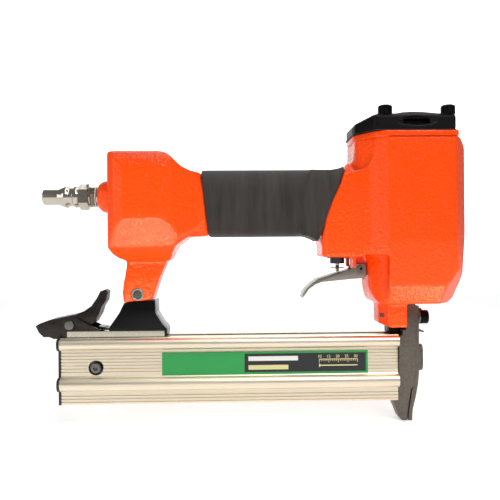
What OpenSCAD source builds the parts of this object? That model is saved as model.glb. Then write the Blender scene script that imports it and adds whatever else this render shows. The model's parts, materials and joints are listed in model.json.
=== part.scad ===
// Pneumatic brad nailer: a cast body with a head, a hollow handle and a rear leg,
// a driver guide under the head and a sliding magazine for strips of brads.
// +X points forward to the head, +Z up, and the nose tip's face is at z = 0.

/* [Head] */
// Half width of the head casting
head_half_w = 30; // [29:0.5:31]
// Front face of the head
head_front_x = 31; // [30.5:0.5:32]
// Rear face of the head
head_rear_x = -36.6; // [-37:0.2:-36]
// Underside of the head
head_floor_z = 73.8; // [73.5:0.1:74]
// Top of the head's rim, under the gasket
rim_top_z = 177.2; // [177:0.1:178]
// Thickness of the rim
rim_h = 3.6; // [3:0.2:4]
// Half width of the cap
cap_half_w = 28; // [27.5:0.5:28.5]
// Highest point of the cap's crown
cap_top_z = 189.6; // [189:0.2:190]

/* [Drive] */
// Distance of the driver axis from the origin, along X
drive_x = -1.2; // [-1.3:0.1:-1.1]
// Bore radius of the cylinder
bore_r = 15.5; // [15.3:0.1:15.6]
// Stroke of the piston
stroke = 53; // [50:1:53]
// Thickness of the driver blade
blade_t = 1.2; // [1.1:0.1:1.3]
// Width of the driver blade
blade_w = 2.5; // [2.3:0.1:2.6]
// Height of the blade's tip at rest
blade_tip_z = 54; // [54:0.5:55]
// Lift of the head valve
valve_lift = 3; // [2:0.5:3]

/* [Handle] */
// Height of the handle's axis
handle_z = 136.4; // [136:0.2:137]
// Half width of the rubber sleeve
grip_half_w = 17; // [16.5:0.5:18]
// Height of the rubber sleeve
grip_h = 42.4; // [42:0.2:43]
// Thickness of the rubber sleeve
grip_t = 2.6; // [2:0.2:3]

/* [Air inlet] */
// Height of the inlet's axis
inlet_z = 141.3; // [141:0.1:142]
// Radius of the plug's nose
plug_nose_r = 4.9; // [4.8:0.1:5]
// Radius of the plug's air hole
plug_bore_r = 3; // [2.5:0.1:3.2]
// Distance across the flats of the plug's hexagon
plug_hex_af = 14; // [13.8:0.1:14.2]

/* [Trigger] */
// Trigger pivot, along X
trigger_x = -31.7; // [-31.8:0.1:-31.6]
// Trigger pivot, height
trigger_z = 95.5; // [95.4:0.1:95.6]
// Half width of the trigger
trigger_half_w = 7.4; // [7:0.1:7.5]
// Radius of the trigger's pin
trigger_pin_r = 2; // [1.9:0.1:2.1]
// Trigger valve's axis, along X
valve_x = -44.9; // [-45:0.1:-44.8]

/* [Magazine] */
// Front end of the magazine
mag_front_x = -9; // [-9.2:0.1:-8.9]
// Rear end of the magazine's extrusion
mag_rear_x = -216.2; // [-217:0.2:-216]
// Bottom of the magazine
mag_floor_z = 13.4; // [13.2:0.1:13.6]
// Top of the magazine
mag_top_z = 54.5; // [54.4:0.1:54.6]
// Half width of the magazine's ribbed walls
mag_half_w = 8.5; // [8.3:0.1:8.6]
// Half width of the magazine's bulges
bulge_half_w = 13.5; // [13:0.1:14]
// Depth of the grooves between the ribs
groove_d = 0.45; // [0.3:0.05:0.6]
// Half width of the magazine's inner slot
slot_half_w = 3.2; // [3.1:0.1:3.4]
// Height of the slot's floor
slot_floor_z = 24; // [23.8:0.1:24.2]

/* [Latch] */
// Latch pivot, along X
latch_x = -210.8; // [-211:0.1:-210.6]
// Latch pivot, height
latch_z = 62.3; // [62.2:0.1:62.4]
// Radius of the latch's pin
latch_pin_r = 1.8; // [1.7:0.1:1.9]
// Half width of the latch lever
lever_half_w = 7.2; // [7:0.1:7.3]

/* [Nose] */
// Half width of the driver guide
guide_half_w = 11; // [10.5:0.1:11.2]
// Half width of the nose tip
tip_half_w = 5; // [4.5:0.1:5.5]

/* [Hidden] */
$fn = 48;
// Running clearance between a shaft and its hole, on the radius
run = 0.05;
// Clearance between parts that slide past each other
gap = 0.3;
// Overshoot of a cutting shape past the face that it cuts
over = 1;

// Driver line: floor of the cylinder, bumper, piston and head valve
seat_z = head_floor_z + 6.2;
seat_r = 18;
cylinder_top_z = 161;
cylinder_r = bore_r + 2;
piston_low_z = 148;
piston_top_z = 160;
piston_r = bore_r - 0.1;
piston_hub_r = 5;
piston_hub_z = 142;
ring_r = 1.4;
bumper_top_z = piston_low_z - stroke - gap;
bumper_r = 12;
// Ports that return air under the piston, through the cylinder's wall
port_r = 1.5;
port_z = 99;
chamber_r = 25.5;
chamber_low_z = 92;
chamber_top_z = 150;
pocket_r = 20.5;
head_valve_r = pocket_r - 0.2;
head_valve_low_z = cylinder_top_z + 0.2;
head_valve_top_z = 173;
head_valve_stem_r = 6;
head_valve_stem_z = 181;
head_spring_low_z = 168;
head_spring_top_z = 183;
head_spring_in_r = 8.2;
head_spring_out_r = 9.8;
cap_low_z = rim_top_z + 0.6;

// Cap screws, M5 socket heads on a rectangle about the head's middle
cap_screw_x = 19;
cap_screw_y = 21;
screw_r = 2.45;
screw_hole_r = 2.5;
screw_head_r = 4.25;
screw_head_h = 5.2;
hex_key_r = 2.3;
cap_screw_low_z = 160;
cap_land_z = 188;

// Plan outline of the head: a box with a narrowed nose and a tapered back
head_plan = [
  [head_front_x, -16], [head_front_x, 16], [21, head_half_w], [-19, head_half_w],
  [-25.6, 25.4], [head_rear_x, 13], [head_rear_x, -13], [-25.6, -25.4],
  [-19, -head_half_w], [21, -head_half_w]
];
// Side outline of the head below its rim
head_side = [
  [-35.8, 174], [-35.8, 167.3], [-36.6, 160], [-36.6, 104], [-27.4, 104], [-27.4, 91],
  [-27.9, 89], [-27.9, 86.4], [-26.4, 80.9], [-24.4, 76.6], [-21.8, head_floor_z],
  [20.2, head_floor_z], [24.2, 77.4], [26.4, 86.9], [30.4, 114.1],
  [head_front_x, 116.8], [head_front_x, 167], [30, 169.6], [27.5, 172.2], [24.5, 174]
];
// Front outline of the head: its sides lean in below the middle
head_front = [
  [-25, head_floor_z], [25, head_floor_z], [28.6, 85.4], [head_half_w, 111.4],
  [head_half_w, 174], [-head_half_w, 174], [-head_half_w, 111.4], [-28.6, 85.4]
];
rim_plan = [
  [23, -29], [23, 29], [-20, 29], [-27, 27], [head_rear_x, 13.5],
  [head_rear_x, -13.5], [-27, -27], [-20, -29]
];
// Cap outline in plan and from the side
cap_plan = [
  [21.6, -cap_half_w], [21.6, cap_half_w], [-26.3, cap_half_w], [head_rear_x, 13],
  [head_rear_x, -13], [-26.3, -cap_half_w]
];
cap_side = [
  [head_rear_x, cap_low_z], [head_rear_x, 181.6], [-35.6, 183.6], [-26, 187.2],
  [-24, cap_land_z], [-13, cap_land_z], [-5, cap_top_z], [3, cap_top_z - 0.2],
  [12, cap_land_z], [21.6, cap_land_z], [22.8, 186.2], [21.6, 185.4],
  [21.6, cap_low_z]
];
exhaust_low_z = 180.7;
exhaust_top_z = 185;
exhaust_rear_x = -17;
exhaust_front_x = 9;
exhaust_d = 4;

// Neck between the sleeve and the head, with the trigger housing below it
neck_side = [
  [-41.6, 157.4], [-45.2, 147.2], [-50.3, 135.8], [-54.5, 124.3], [-56.8, 111.3],
  [-56.4, 103.9], [-55.2, 102.4], [-37.2, 102.4], [-37.4, 95.9], [-35.4, 95.9],
  [-35.4, 102.4], [-26, 104], [-26, 160], [-40, 160.6]
];
neck_half_w = 12.6;
// The neck's flanks flare toward the head below a ledge.
flank_side = [
  [-43.4, 152.8], [-45.2, 147.2], [-50.3, 135.8], [-54.5, 124.3], [-56.8, 111.3],
  [-56.4, 103.9], [-55.2, 102.4], [-37, 102.4], [-31.4, 103.4], [-29.6, 106],
  [-22, 107.6], [-22, 168], [-26, 168], [-27.4, 162.4], [-30, 157.2], [-33.6, 155],
  [-38, 154.2]
];
flank_plan = [
  [-57, -13.8], [-52, -16], [-44, -18], [-36, -20.6], [-29, -23], [-24, -25.4],
  [-20, -25.4], [-20, 25.4], [-24, 25.4], [-29, 23], [-36, 20.6], [-44, 18],
  [-52, 16], [-57, 13.8]
];
lug_side = [
  [-36, 104], [-36, 93.2], [-33.5, 91.4], [-26, 91.4], [-26, 104]
];
lug_half_w = 5;
// Slot in the casting for the trigger's cheeks, on both sides of the lug
trigger_slot_low = [-41, 0, 87.2];
trigger_slot_high = [-26.6, 0, 102.4];
foot_low_z = 59.2;
foot_high_z = 80;
foot_half_w = 14;
foot_side = [
  [-23.8, foot_high_z], [-23.8, 69.9], [-22.6, 64.9], [-20.6, 61.5], [-14.7, foot_low_z],
  [-4.3, foot_low_z], [-4.3, foot_high_z]
];
foot_plan = [
  [-4, -foot_half_w], [-15.8, -foot_half_w], [-20.6, -6],
  [-20.6, 6], [-15.8, foot_half_w], [-4, foot_half_w]
];
// Below the neck the head's rear is a barrel round the cylinder.
belly_r = 27.7;
belly_front_x = -18.6;
belly_top_z = 104;
// Heights that a plan outline is drawn through, past the top and bottom of what it trims
plan_low_z = 90;
plan_high_z = 180;
// Rear block, in plan and from the side, and the leg under it
block_plan = [
  [-187, -12], [-185, -19], [-181, -23.2], [-175, -25], [-152, -25], [-144, -23], [-130, -15],
  [-130, 15], [-144, 23], [-152, 25], [-175, 25], [-181, 23.2],
  [-185, 19], [-187, 12]
];
block_side = [
  [-187, 162.5], [-186.4, 165.4], [-184.9, 167.5], [-182.4, 168.4], [-155.6, 168.4], [-148.4, 165.2],
  [-141.2, 158], [-130.4, 154.6], [-125.4, 154.6], [-125.4, 116.4], [-136.2, 115.4],
  [-143.4, 110.2], [-147, 101.4], [-176.3, 101.4], [-180, 103],
  [-183.2, 105.4], [-185.4, 109], [-186.2, 113]
];
leg_side = [
  [-175.8, 103], [-175.8, 98.7], [-178.5, 81.7], [-177.8, 75.8], [-158.5, 77.2],
  [-153.9, 90.4], [-148, 103.9]
];
leg_half_w = 9;
leg_pin_x = -169.5;
leg_pin_z = 80.7;
leg_pin_r = 2.6;
leg_bush_r = 4.1;
leg_slot_half_w = 3.1;
leg_slot_low_z = 70;

// Handle core and the air way through it
core_half_w = grip_half_w - grip_t;
core_h = grip_h - 2 * grip_t;
core_front_x = -38;
core_rear_x = -136;
core_corner_r = 12;
grip_corner_r = 14.5;
airway_r = 10.5;
airway_rear_x = -178;
rear_chamber_r = 20;
rear_chamber_x = -181;
rear_chamber_front_x = -149;
airway_front_x = -20;
boss_r = 10.2;
boss_face_x = -195.2;
boss_face_r = 6.6;
// Boss round the air inlet: [distance from axis, x]
boss_profile = [
  [0, boss_face_x], [boss_face_r, boss_face_x], [8.4, -193.4],
  [boss_r - 0.4, -190.6], [boss_r, -184], [0, -184]
];
inlet_r = 5.6;
inlet_end_x = -180;

// Side outline of the rubber sleeve
grip_side = [
  [-130.6, 157.6], [-125.7, 115.2], [-58.4, 115.2], [-54.8, 124.3],
  [-50.6, 135.8], [-45.5, 147.2], [-42, 157.6]
];

// Plug profile along -X from its shoulder: [distance from axis, x]
plug_tip_x = -228.4;
plug_nose_end_x = -218.7;
plug_hex_x = -205.9;
plug_hex_h = 6.3;

// Trigger valve
valve_bore_r = 6.5;
valve_body_r = 6.4;
valve_collar_r = 4.5;
valve_low_z = 98.4;
valve_shoulder_z = 101.8;
valve_top_z = 126;
stem_r = 1.2;
stem_low_z = 93.5;
stem_head_r = 3;
stem_head_z = 112.2;
stem_head_h = 1.8;
valve_room_r = 3.6;
valve_room_top_z = 124.5;
valve_seal_r = 0.95;
clip_r = 4.5;
clip_z = 95.6;
clip_t = 0.5;

// Trigger outline: a cheek round the pin, then a tapering finger lever
trigger_side = [
  [-35.2, 98.2], [-36.9, 95.3], [-41.7, 93.8], [-47.7, 92.4], [-53.3, 90.6],
  [-58, 89.2], [-62, 86.2], [-65.2, 83.2], [-67.1, 80.6], [-67.9, 77.4],
  [-66.5, 79], [-63.7, 82.9], [-59.7, 85.7], [-55.7, 87.2], [-47.8, 87.9],
  [-35.8, 89], [-29.9, 89.3], [-27.9, 91], [-28.2, 98.2]
];
fork_half_w = lug_half_w + gap;
fork_rear_x = -37.2;

// Driver guide and its cover
guide_split_x = 1.4;
cover_front_x = 3.9;
guide_top_z = head_floor_z;
cover_half_w = 10;
tongue_half_w = 3.1;
tongue_rear_x = drive_x + blade_t / 2 + 0.1;
channel_half_w = blade_w / 2 + 0.1;
guide_side = [
  [-4.3, guide_top_z], [-4.3, 57.4], [-6.5, 57.4], [-6.5, 54.4], [-8.6, 53.4],
  [-8.6, 13.1], [-11.7, 13.1], [-7.2, 1.6], [-5.8, 0], [-2.7, 0], [-0.9, 20],
  [guide_split_x, 22.5], [guide_split_x, guide_top_z]
];
cover_side = [
  [guide_split_x, 72], [guide_split_x, 22.5], [0, 20], [-1.8, 0], [0.6, 0],
  [1.2, 7.7], [2.5, 15.5], [3.4, 23.4], [cover_front_x, 31.3], [cover_front_x, 56.2], [7, 55.6],
  [7, 56.6], [cover_front_x, 57.6], [cover_front_x, 72]
];
// Front view of the guide: [y, z] down one side
guide_front = [
  [guide_half_w, guide_top_z], [guide_half_w, 46], [9, 24], [tip_half_w, 6],
  [tip_half_w, 0], [-tip_half_w, 0], [-tip_half_w, 6], [-9, 24],
  [-guide_half_w, 46], [-guide_half_w, guide_top_z]
];
cover_boss_low_z = 30.3;
cover_boss_top_z = 47.1;
cover_boss_r = 4;
cover_boss_x = 8.2;
guide_screw_y = 6.4;
guide_screw_z = 64.9;
guide_screw_rear_x = -17;
washer_r = 4.4;
washer_t = 1;
spacer_rear_x = -13.8;
spacer_half_w = 6;
rail_pin_x = -18.8;
rail_pin_z = 66.4;
rail_pin_r = 1.2;

// Magazine: bulges, ribs, spring seat, pusher and rod
bulge_low_z = 22;
bulge_low_top_z = 30.5;
bulge_high_z = 46.8;
rib_pitch = 1.95;
upper_grooves = 6;
upper_groove_z = 34.2;
lower_grooves = 3;
lower_groove_z = 15.2;
plate_t = 1.6;
plate_grow = 0.3;
notch_z = 52.4;
rod_r = 1.5;
rod_z = 29;
rod_front_x = -11;
seat_front_x = -188;
spring_seat_top_z = 40.4;
seat_screw_x = -195;
seat_screw_z = 36;
seat_screw_r = 3;
seat_screw_hole_r = 4.6;
pusher_rear_x = -24;
pusher_front_x = -10.5;
pusher_blade_t = 1.1;
pusher_low_z = 24.4;
pusher_top_z = 33.6;
pusher_blade_top_z = 52;
spring_t = 0.6;
spring_out_r = 2.5;
label_rear_x = -154.7;
label_front_x = -27.8;
label_low_z = 30.9;
label_top_z = 44.9;
label_t = 0.25;
plate_screw_y = 0;
plate_screw_z = 18.4;
plate_screw_r = 1.5;
plate_screw_head_r = 2.8;

// Fixed rail: a top strip with a web that hangs in the magazine's slot
strip_low_z = mag_top_z + gap;
strip_h = 3.6;
strip_top_z = strip_low_z + strip_h;
strip_half_w = 9;
strip_rear_x = -212.3;
strip_front_x = -153;
web_near_y = 0.9;
web_far_y = 2.9;
web_low_z = 41;
web_front_x = -8.7;

// Bracket between the rail and the leg
bracket_side = [
  [-177.4, 75.6], [-180.4, 69.5], [-186.4, 61], [-186.4, strip_top_z],
  [-152.9, strip_top_z], [-152.9, 55.2], [-151.4, 55.2], [-151.4, 59.4],
  [-154.2, 62.4], [-158.4, 69.2], [-158.6, 77]
];
bracket_half_w = 9.6;
bracket_t = 1.6;
bracket_web_x = -159.2;
tail_side = [
  [-185.4, strip_top_z], [-194.3, 59.8], [-194.3, 61], [-185.4, strip_top_z + 1.6]
];
tail_half_w = 6;
tongue_x = -169;
tongue_half_x = 5.6;
tongue_top_z = 86;
rivet_r = 2;
rivet_hole_r = 2.1;
rivet_head_r = 2.9;
rivet_x = [-180, -163];

// Latch: ears beside the lever, and the lever's outline
ear_side = [
  [-215.7, 54.9], [-215.6, 65.8], [-212.4, 67.3], [-207.3, 66.9], [-193.9, 60],
  [-192.1, strip_top_z], [strip_rear_x, strip_top_z], [strip_rear_x, 54.9]
];
ear_in_y = 7.6;
ear_out_y = 9;
lever_side = [
  [-189.9, 83.7], [-188.4, 82.4], [-189.3, 77.1], [-191.9, 73.2], [-193.3, 68.9],
  [-196.6, 63.4], [-199, 62], [-205, 60.6], [-208.4, 59.2], [-213.2, 58.9],
  [-213.2, 54.95], [-227, 54.95], [-230, 57.8], [-231.9, 61.9], [-229.2, 63.4],
  [-223, 65.5], [-215.6, 67], [-208.1, 68.5], [-202.5, 70.6], [-198.1, 73.7],
  [-195, 78.4], [-193, 82.5]
];
hook_side = [
  [-218.2, 56], [-218.2, 53.2], [-222, 53], [-226.5, 54.8], [-226.5, 56]
];
hook_half_w = 2.4;
latch_spring_r = 2.9;

// Extrudes an [x, z] outline along Y, to the same distance on both sides.
module side_prism(points, half_w) {
  rotate([90, 0, 0]) linear_extrude(2 * half_w, center = true) polygon(points);
}
// Extrudes an [x, y] outline along Z.
module plan_prism(points, low, high) {
  translate([0, 0, low]) linear_extrude(high - low) polygon(points);
}
// Extrudes children, drawn as [y, z], along X.
module along_x(rear, front) {
  translate([rear, 0, 0]) rotate([90, 0, 90]) linear_extrude(front - rear) children();
}
module x_rod(r, rear, front, y = 0, z = 0) {
  translate([rear, y, z]) rotate([0, 90, 0]) cylinder(r = r, h = front - rear);
}
module y_rod(r, near, far, x, z) {
  translate([x, far, z]) rotate([90, 0, 0]) cylinder(r = r, h = far - near);
}
module z_rod(r, low, high, x = drive_x, y = 0) {
  translate([x, y, low]) cylinder(r = r, h = high - low);
}
// A box from its lowest corner to its highest corner.
module block(low, high) {
  translate(low) cube(high - low);
}
// A rectangle with round corners about the origin.
module round_rect(half_w, half_h, r) {
  square([2 * half_w, 2 * (half_h - r)], center = true);
  square([2 * (half_w - r), 2 * half_h], center = true);
  for (u = [-1, 1], v = [-1, 1])
    translate([u * (half_w - r), v * (half_h - r)]) circle(r = r);
}
// A ring of round section about a vertical axis.
module ring(major_r, minor_r, z, x = drive_x) {
  translate([x, 0, z]) rotate_extrude() translate([major_r, 0]) circle(r = minor_r);
}
// A hexagonal socket cut for a key, pointing along +Z from its floor.
module key_socket(r, depth) {
  cylinder(r = r, h = depth + over, $fn = 6);
}
module tube(outer_r, inner_r, low, high, x = drive_x) {
  difference() {
    z_rod(outer_r, low, high, x);
    z_rod(inner_r, low - over, high + over, x);
  }
}

// ---- body castings ----

module head_form() {
  difference() {
    intersection() {
      side_prism(head_side, head_half_w + over);
      plan_prism(head_plan, head_floor_z - over, rim_top_z);
      along_x(head_rear_x - over, head_front_x + over) polygon(head_front);
    }
    difference() {
      block([head_rear_x - over, -head_half_w - over, head_floor_z - over],
            [belly_front_x, head_half_w + over, belly_top_z]);
      z_rod(belly_r, head_floor_z - 2, belly_top_z + over);
    }
  }
  plan_prism(rim_plan, rim_top_z - rim_h, rim_top_z);
}

module handle_core() {
  translate([0, 0, handle_z])
    along_x(core_rear_x, core_front_x)
      round_rect(core_half_w, core_h / 2, core_corner_r);
}

module foot_form() {
  intersection() {
    side_prism(foot_side, foot_half_w + over);
    plan_prism(foot_plan, foot_low_z - over, foot_high_z + over);
  }
}

module flank_form() {
  intersection() {
    side_prism(flank_side, head_half_w);
    plan_prism(flank_plan, plan_low_z, plan_high_z);
  }
}

module rear_form() {
  intersection() {
    side_prism(block_side, head_half_w);
    plan_prism(block_plan, plan_low_z, plan_high_z);
  }
  side_prism(leg_side, leg_half_w);
  translate([0, 0, inlet_z]) rotate([0, 90, 0]) rotate_extrude()
    polygon(boss_profile);
}

module drive_hollow() {
  z_rod(pocket_r, chamber_top_z - over, rim_top_z + over);
  z_rod(chamber_r, chamber_low_z, chamber_top_z);
  z_rod(seat_r, seat_z, chamber_low_z + over);
  block([drive_x - blade_t / 2 - 0.2, -channel_half_w - 0.1, head_floor_z - over],
        [drive_x + blade_t / 2 + 0.2, channel_half_w + 0.1, seat_z + over]);
}

module leg_hollow() {
  block([tongue_x - tongue_half_x - 0.1, -leg_slot_half_w, leg_slot_low_z],
        [tongue_x + tongue_half_x + 0.1, leg_slot_half_w, tongue_top_z + 0.4]);
  y_rod(leg_bush_r, -leg_half_w - over, -leg_slot_half_w, leg_pin_x, leg_pin_z);
  y_rod(leg_bush_r, leg_slot_half_w, leg_half_w + over, leg_pin_x, leg_pin_z);
}

module housing() {
  color("orangered") difference() {
    union() {
      difference() {
        union() {
          head_form();
          side_prism(neck_side, neck_half_w);
          flank_form();
        }
        block(trigger_slot_low - [0, trigger_half_w + gap, 0],
              trigger_slot_high + [0, trigger_half_w + gap, 0]);
      }
      side_prism(lug_side, lug_half_w);
      foot_form();
      handle_core();
      rear_form();
    }
    drive_hollow();
    leg_hollow();
    x_rod(airway_r, airway_rear_x, airway_front_x, z = handle_z);
    x_rod(rear_chamber_r, rear_chamber_x, rear_chamber_front_x, z = handle_z);
    x_rod(inlet_r, boss_face_x - over, inlet_end_x, z = inlet_z);
    z_rod(valve_bore_r, valve_shoulder_z, airway_top(), valve_x);
    z_rod(valve_collar_r + 0.2, valve_low_z, valve_shoulder_z + over, valve_x);
    y_rod(trigger_pin_r, -lug_half_w - over, lug_half_w + over, trigger_x, trigger_z);
    y_rod(rail_pin_r, -foot_half_w - over, foot_half_w + over, rail_pin_x, rail_pin_z);
    for (x = [-1, 1], y = [-1, 1])
      z_rod(screw_hole_r, cap_screw_low_z - over, rim_top_z + over,
            x * cap_screw_x, y * cap_screw_y);
    for (y = [-1, 1])
      x_rod(screw_hole_r, guide_screw_rear_x - over, 0, y * guide_screw_y, guide_screw_z);
  }
}
// The trigger valve's bore opens into the air way.
function airway_top() = handle_z;

module grip_sleeve() {
  color("dimgray") difference() {
    intersection() {
      side_prism(grip_side, grip_half_w + over);
      translate([0, 0, handle_z]) along_x(-135, -38)
        round_rect(grip_half_w, grip_h / 2, grip_corner_r);
    }
    translate([0, 0, handle_z]) along_x(-140, -36)
      round_rect(core_half_w, core_h / 2, core_corner_r);
    side_prism(neck_side, neck_half_w);
    intersection() {
      side_prism(block_side, head_half_w);
      plan_prism(block_plan, plan_low_z, plan_high_z);
    }
  }
}

module cylinder_cap() {
  color("black") difference() {
    intersection() {
      side_prism(cap_side, cap_half_w + over);
      plan_prism(cap_plan, cap_low_z - over, cap_top_z + over);
    }
    z_rod(pocket_r - 3, cap_low_z - over, cap_low_z + 1.4);
    z_rod(head_valve_stem_r + 0.1, cap_low_z, head_valve_stem_z + valve_lift + over);
    tube(head_spring_out_r + 0.4, head_spring_in_r - 0.4, cap_low_z, head_spring_top_z);
    for (y = [-1, 1])
      block([exhaust_rear_x, y * cap_half_w - exhaust_d, exhaust_low_z],
            [exhaust_front_x, y * cap_half_w + exhaust_d, exhaust_top_z]);
    for (x = [-1, 1], y = [-1, 1])
      z_rod(screw_hole_r, cap_low_z - over, cap_top_z + over,
            x * cap_screw_x, y * cap_screw_y);
  }
}

module cap_gasket() {
  color("black") difference() {
    plan_prism(cap_plan, rim_top_z, cap_low_z);
    z_rod(pocket_r, rim_top_z - over, cap_low_z + over);
    for (x = [-1, 1], y = [-1, 1])
      z_rod(screw_hole_r, rim_top_z - over, cap_low_z + over,
            x * cap_screw_x, y * cap_screw_y);
  }
}

// A socket head screw with its head's underside at z = 0, pointing down.
module socket_screw(length) {
  difference() {
    union() {
      cylinder(r = screw_head_r, h = screw_head_h);
      translate([0, 0, -length]) cylinder(r = screw_r, h = length + over);
    }
    translate([0, 0, screw_head_h / 2]) key_socket(hex_key_r, screw_head_h / 2);
  }
}

module cap_screws() {
  color("dimgray")
    for (x = [-1, 1], y = [-1, 1])
      translate([x * cap_screw_x, y * cap_screw_y, cap_land_z])
        socket_screw(cap_land_z - cap_screw_low_z);
}

// ---- drive ----

module cylinder_barrel() {
  difference() {
    union() {
      z_rod(cylinder_r, seat_z, cylinder_top_z);
      z_rod(seat_r - run, seat_z, chamber_low_z - over);
    }
    z_rod(bore_r, seat_z - over, cylinder_top_z + over);
    ring(seat_r - 0.9, 0.95, seat_z + 6);
    for (turn = [45:90:315])
      translate([drive_x, 0, port_z]) rotate([0, 90, turn])
        cylinder(r = port_r, h = seat_r + over);
  }
}

module cylinder_seals() {
  color("black") ring(seat_r - 0.95, 0.85, seat_z + 6);
}

module bumper() {
  color("darkslategray") tube(bumper_r, piston_hub_r + 0.6, seat_z, bumper_top_z);
}

module piston() {
  color("silver") difference() {
    union() {
      z_rod(piston_r, piston_low_z, piston_top_z);
      z_rod(piston_hub_r, piston_hub_z, piston_low_z + over);
    }
    ring(bore_r - ring_r - run, ring_r + run, (piston_low_z + piston_top_z) / 2);
    z_rod(9, piston_top_z - 4, piston_top_z + over);
    block([drive_x - blade_t / 2, -blade_w / 2, piston_hub_z - over],
          [drive_x + blade_t / 2, blade_w / 2, piston_low_z + 2]);
  }
}

module piston_ring() {
  color("black")
    ring(bore_r - ring_r - run, ring_r, (piston_low_z + piston_top_z) / 2);
}

module driver_blade() {
  color("lightsteelblue")
    block([drive_x - blade_t / 2, -blade_w / 2, blade_tip_z],
          [drive_x + blade_t / 2, blade_w / 2, piston_low_z + 2]);
}

module head_valve() {
  color("ivory") difference() {
    union() {
      z_rod(head_valve_r, head_valve_low_z, head_valve_top_z);
      z_rod(head_valve_stem_r, head_valve_top_z - over, head_valve_stem_z);
    }
    tube(head_spring_out_r + 0.4, head_spring_in_r - 0.4, head_spring_low_z,
         head_valve_top_z + over);
    for (z = [165, 170]) ring(head_valve_r - 1.1, 1.15, z);
  }
}

module head_valve_rings() {
  color("black") for (z = [165, 170]) ring(head_valve_r - 1, 1.05, z);
}

module head_valve_spring() {
  color("silver")
    tube(head_spring_out_r, head_spring_in_r, head_spring_low_z, head_spring_top_z);
}

// ---- nose ----

module blade_channel() {
  block([drive_x - blade_t / 2 - 0.1, -channel_half_w, -over],
        [drive_x + blade_t / 2 + 0.1, channel_half_w, guide_top_z + over]);
}

module screw_pair(r, rear, front) {
  for (y = [-1, 1]) x_rod(r, rear, front, y * guide_screw_y, guide_screw_z);
}

module driver_guide() {
  color("dimgray") difference() {
    intersection() {
      side_prism(guide_side, guide_half_w);
      along_x(-20, 20) polygon(guide_front);
    }
    block([tongue_rear_x, -tongue_half_w - 0.1, -over],
          [guide_split_x + over, tongue_half_w + 0.1, 57.7]);
    blade_channel();
    block([-20, -1, 21], [drive_x, 1, 53.5]);
    screw_pair(screw_hole_r, -20, 20);
  }
}

module guide_cover() {
  color("gray") difference() {
    union() {
      intersection() {
        side_prism(cover_side, cover_half_w);
        along_x(-20, 20) polygon(guide_front);
      }
      block([tongue_rear_x, -tongue_half_w, 20], [guide_split_x + 0.2, tongue_half_w, 57.6]);
      for (z = [cover_boss_low_z + cover_boss_r, cover_boss_top_z - cover_boss_r])
        x_rod(cover_boss_r, guide_split_x, cover_boss_x, 0, z);
      block([guide_split_x, -cover_boss_r, cover_boss_low_z + cover_boss_r],
            [cover_boss_x, cover_boss_r, cover_boss_top_z - cover_boss_r]);
    }
    blade_channel();
    screw_pair(screw_hole_r, -20, 20);
  }
}

module guide_screws() {
  color("dimgray") for (y = [-1, 1])
    translate([cover_front_x + washer_t, y * guide_screw_y, guide_screw_z])
      rotate([0, 90, 0]) socket_screw(cover_front_x + washer_t - guide_screw_rear_x);
}

module guide_washers() {
  color("silver") for (y = [-1, 1]) difference() {
    x_rod(washer_r, cover_front_x, cover_front_x + washer_t, y * guide_screw_y,
          guide_screw_z);
    x_rod(screw_hole_r, cover_front_x - over, cover_front_x + 2, y * guide_screw_y,
          guide_screw_z);
  }
}

module rail_spacer() {
  color("dimgray")
    block([spacer_rear_x, -spacer_half_w, strip_low_z], [-6.5, spacer_half_w, 59.2]);
}

module rail_pin() {
  color("black") intersection() {
    y_rod(rail_pin_r, -foot_half_w, foot_half_w, rail_pin_x, rail_pin_z);
    foot_form();
  }
}

// ---- trigger and its valve ----

module valve_body() {
  color("dimgray") difference() {
    union() {
      z_rod(valve_body_r, valve_shoulder_z, valve_top_z, valve_x);
      z_rod(valve_collar_r, valve_low_z, valve_shoulder_z + over, valve_x);
    }
    z_rod(stem_r + run, valve_low_z - over, stem_head_z, valve_x);
    z_rod(valve_room_r, stem_head_z - 0.2, valve_room_top_z, valve_x);
    z_rod(stem_r, valve_room_top_z - over, valve_top_z + over, valve_x);
    for (z = [105, 120])
      ring(valve_bore_r - valve_seal_r - run, valve_seal_r + run, z, valve_x);
  }
}

module valve_seals() {
  color("black") for (z = [105, 120])
    ring(valve_bore_r - valve_seal_r - run, valve_seal_r, z, valve_x);
}

module valve_spring() {
  color("silver")
    tube(2.9, 2.3, stem_head_z + stem_head_h, valve_room_top_z, valve_x);
}

module valve_stem() {
  color("silver") difference() {
    union() {
      z_rod(stem_r, stem_low_z, stem_head_z + 5, valve_x);
      z_rod(stem_head_r, stem_head_z, stem_head_z + stem_head_h, valve_x);
    }
    tube(stem_r + over, stem_r - 0.4, clip_z, clip_z + clip_t, valve_x);
  }
}

module stem_clip() {
  color("silver") difference() {
    tube(clip_r, stem_r - 0.4, clip_z, clip_z + clip_t, valve_x);
    block([valve_x - 0.8, 0, clip_z - over], [valve_x + 0.8, clip_r + over, clip_z + over]);
  }
}

module trigger() {
  color("silver") difference() {
    side_prism(trigger_side, trigger_half_w);
    block([fork_rear_x, -fork_half_w, 90.4], [-20, fork_half_w, 110]);
    y_rod(trigger_pin_r + run, -20, 20, trigger_x, trigger_z);
  }
}

module trigger_pin() {
  color("dimgray") difference() {
    y_rod(trigger_pin_r, -8.2, 8.2, trigger_x, trigger_z);
    y_rod(trigger_pin_r / 2, -10, 10, trigger_x, trigger_z);
  }
}

// ---- air plug ----

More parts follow.
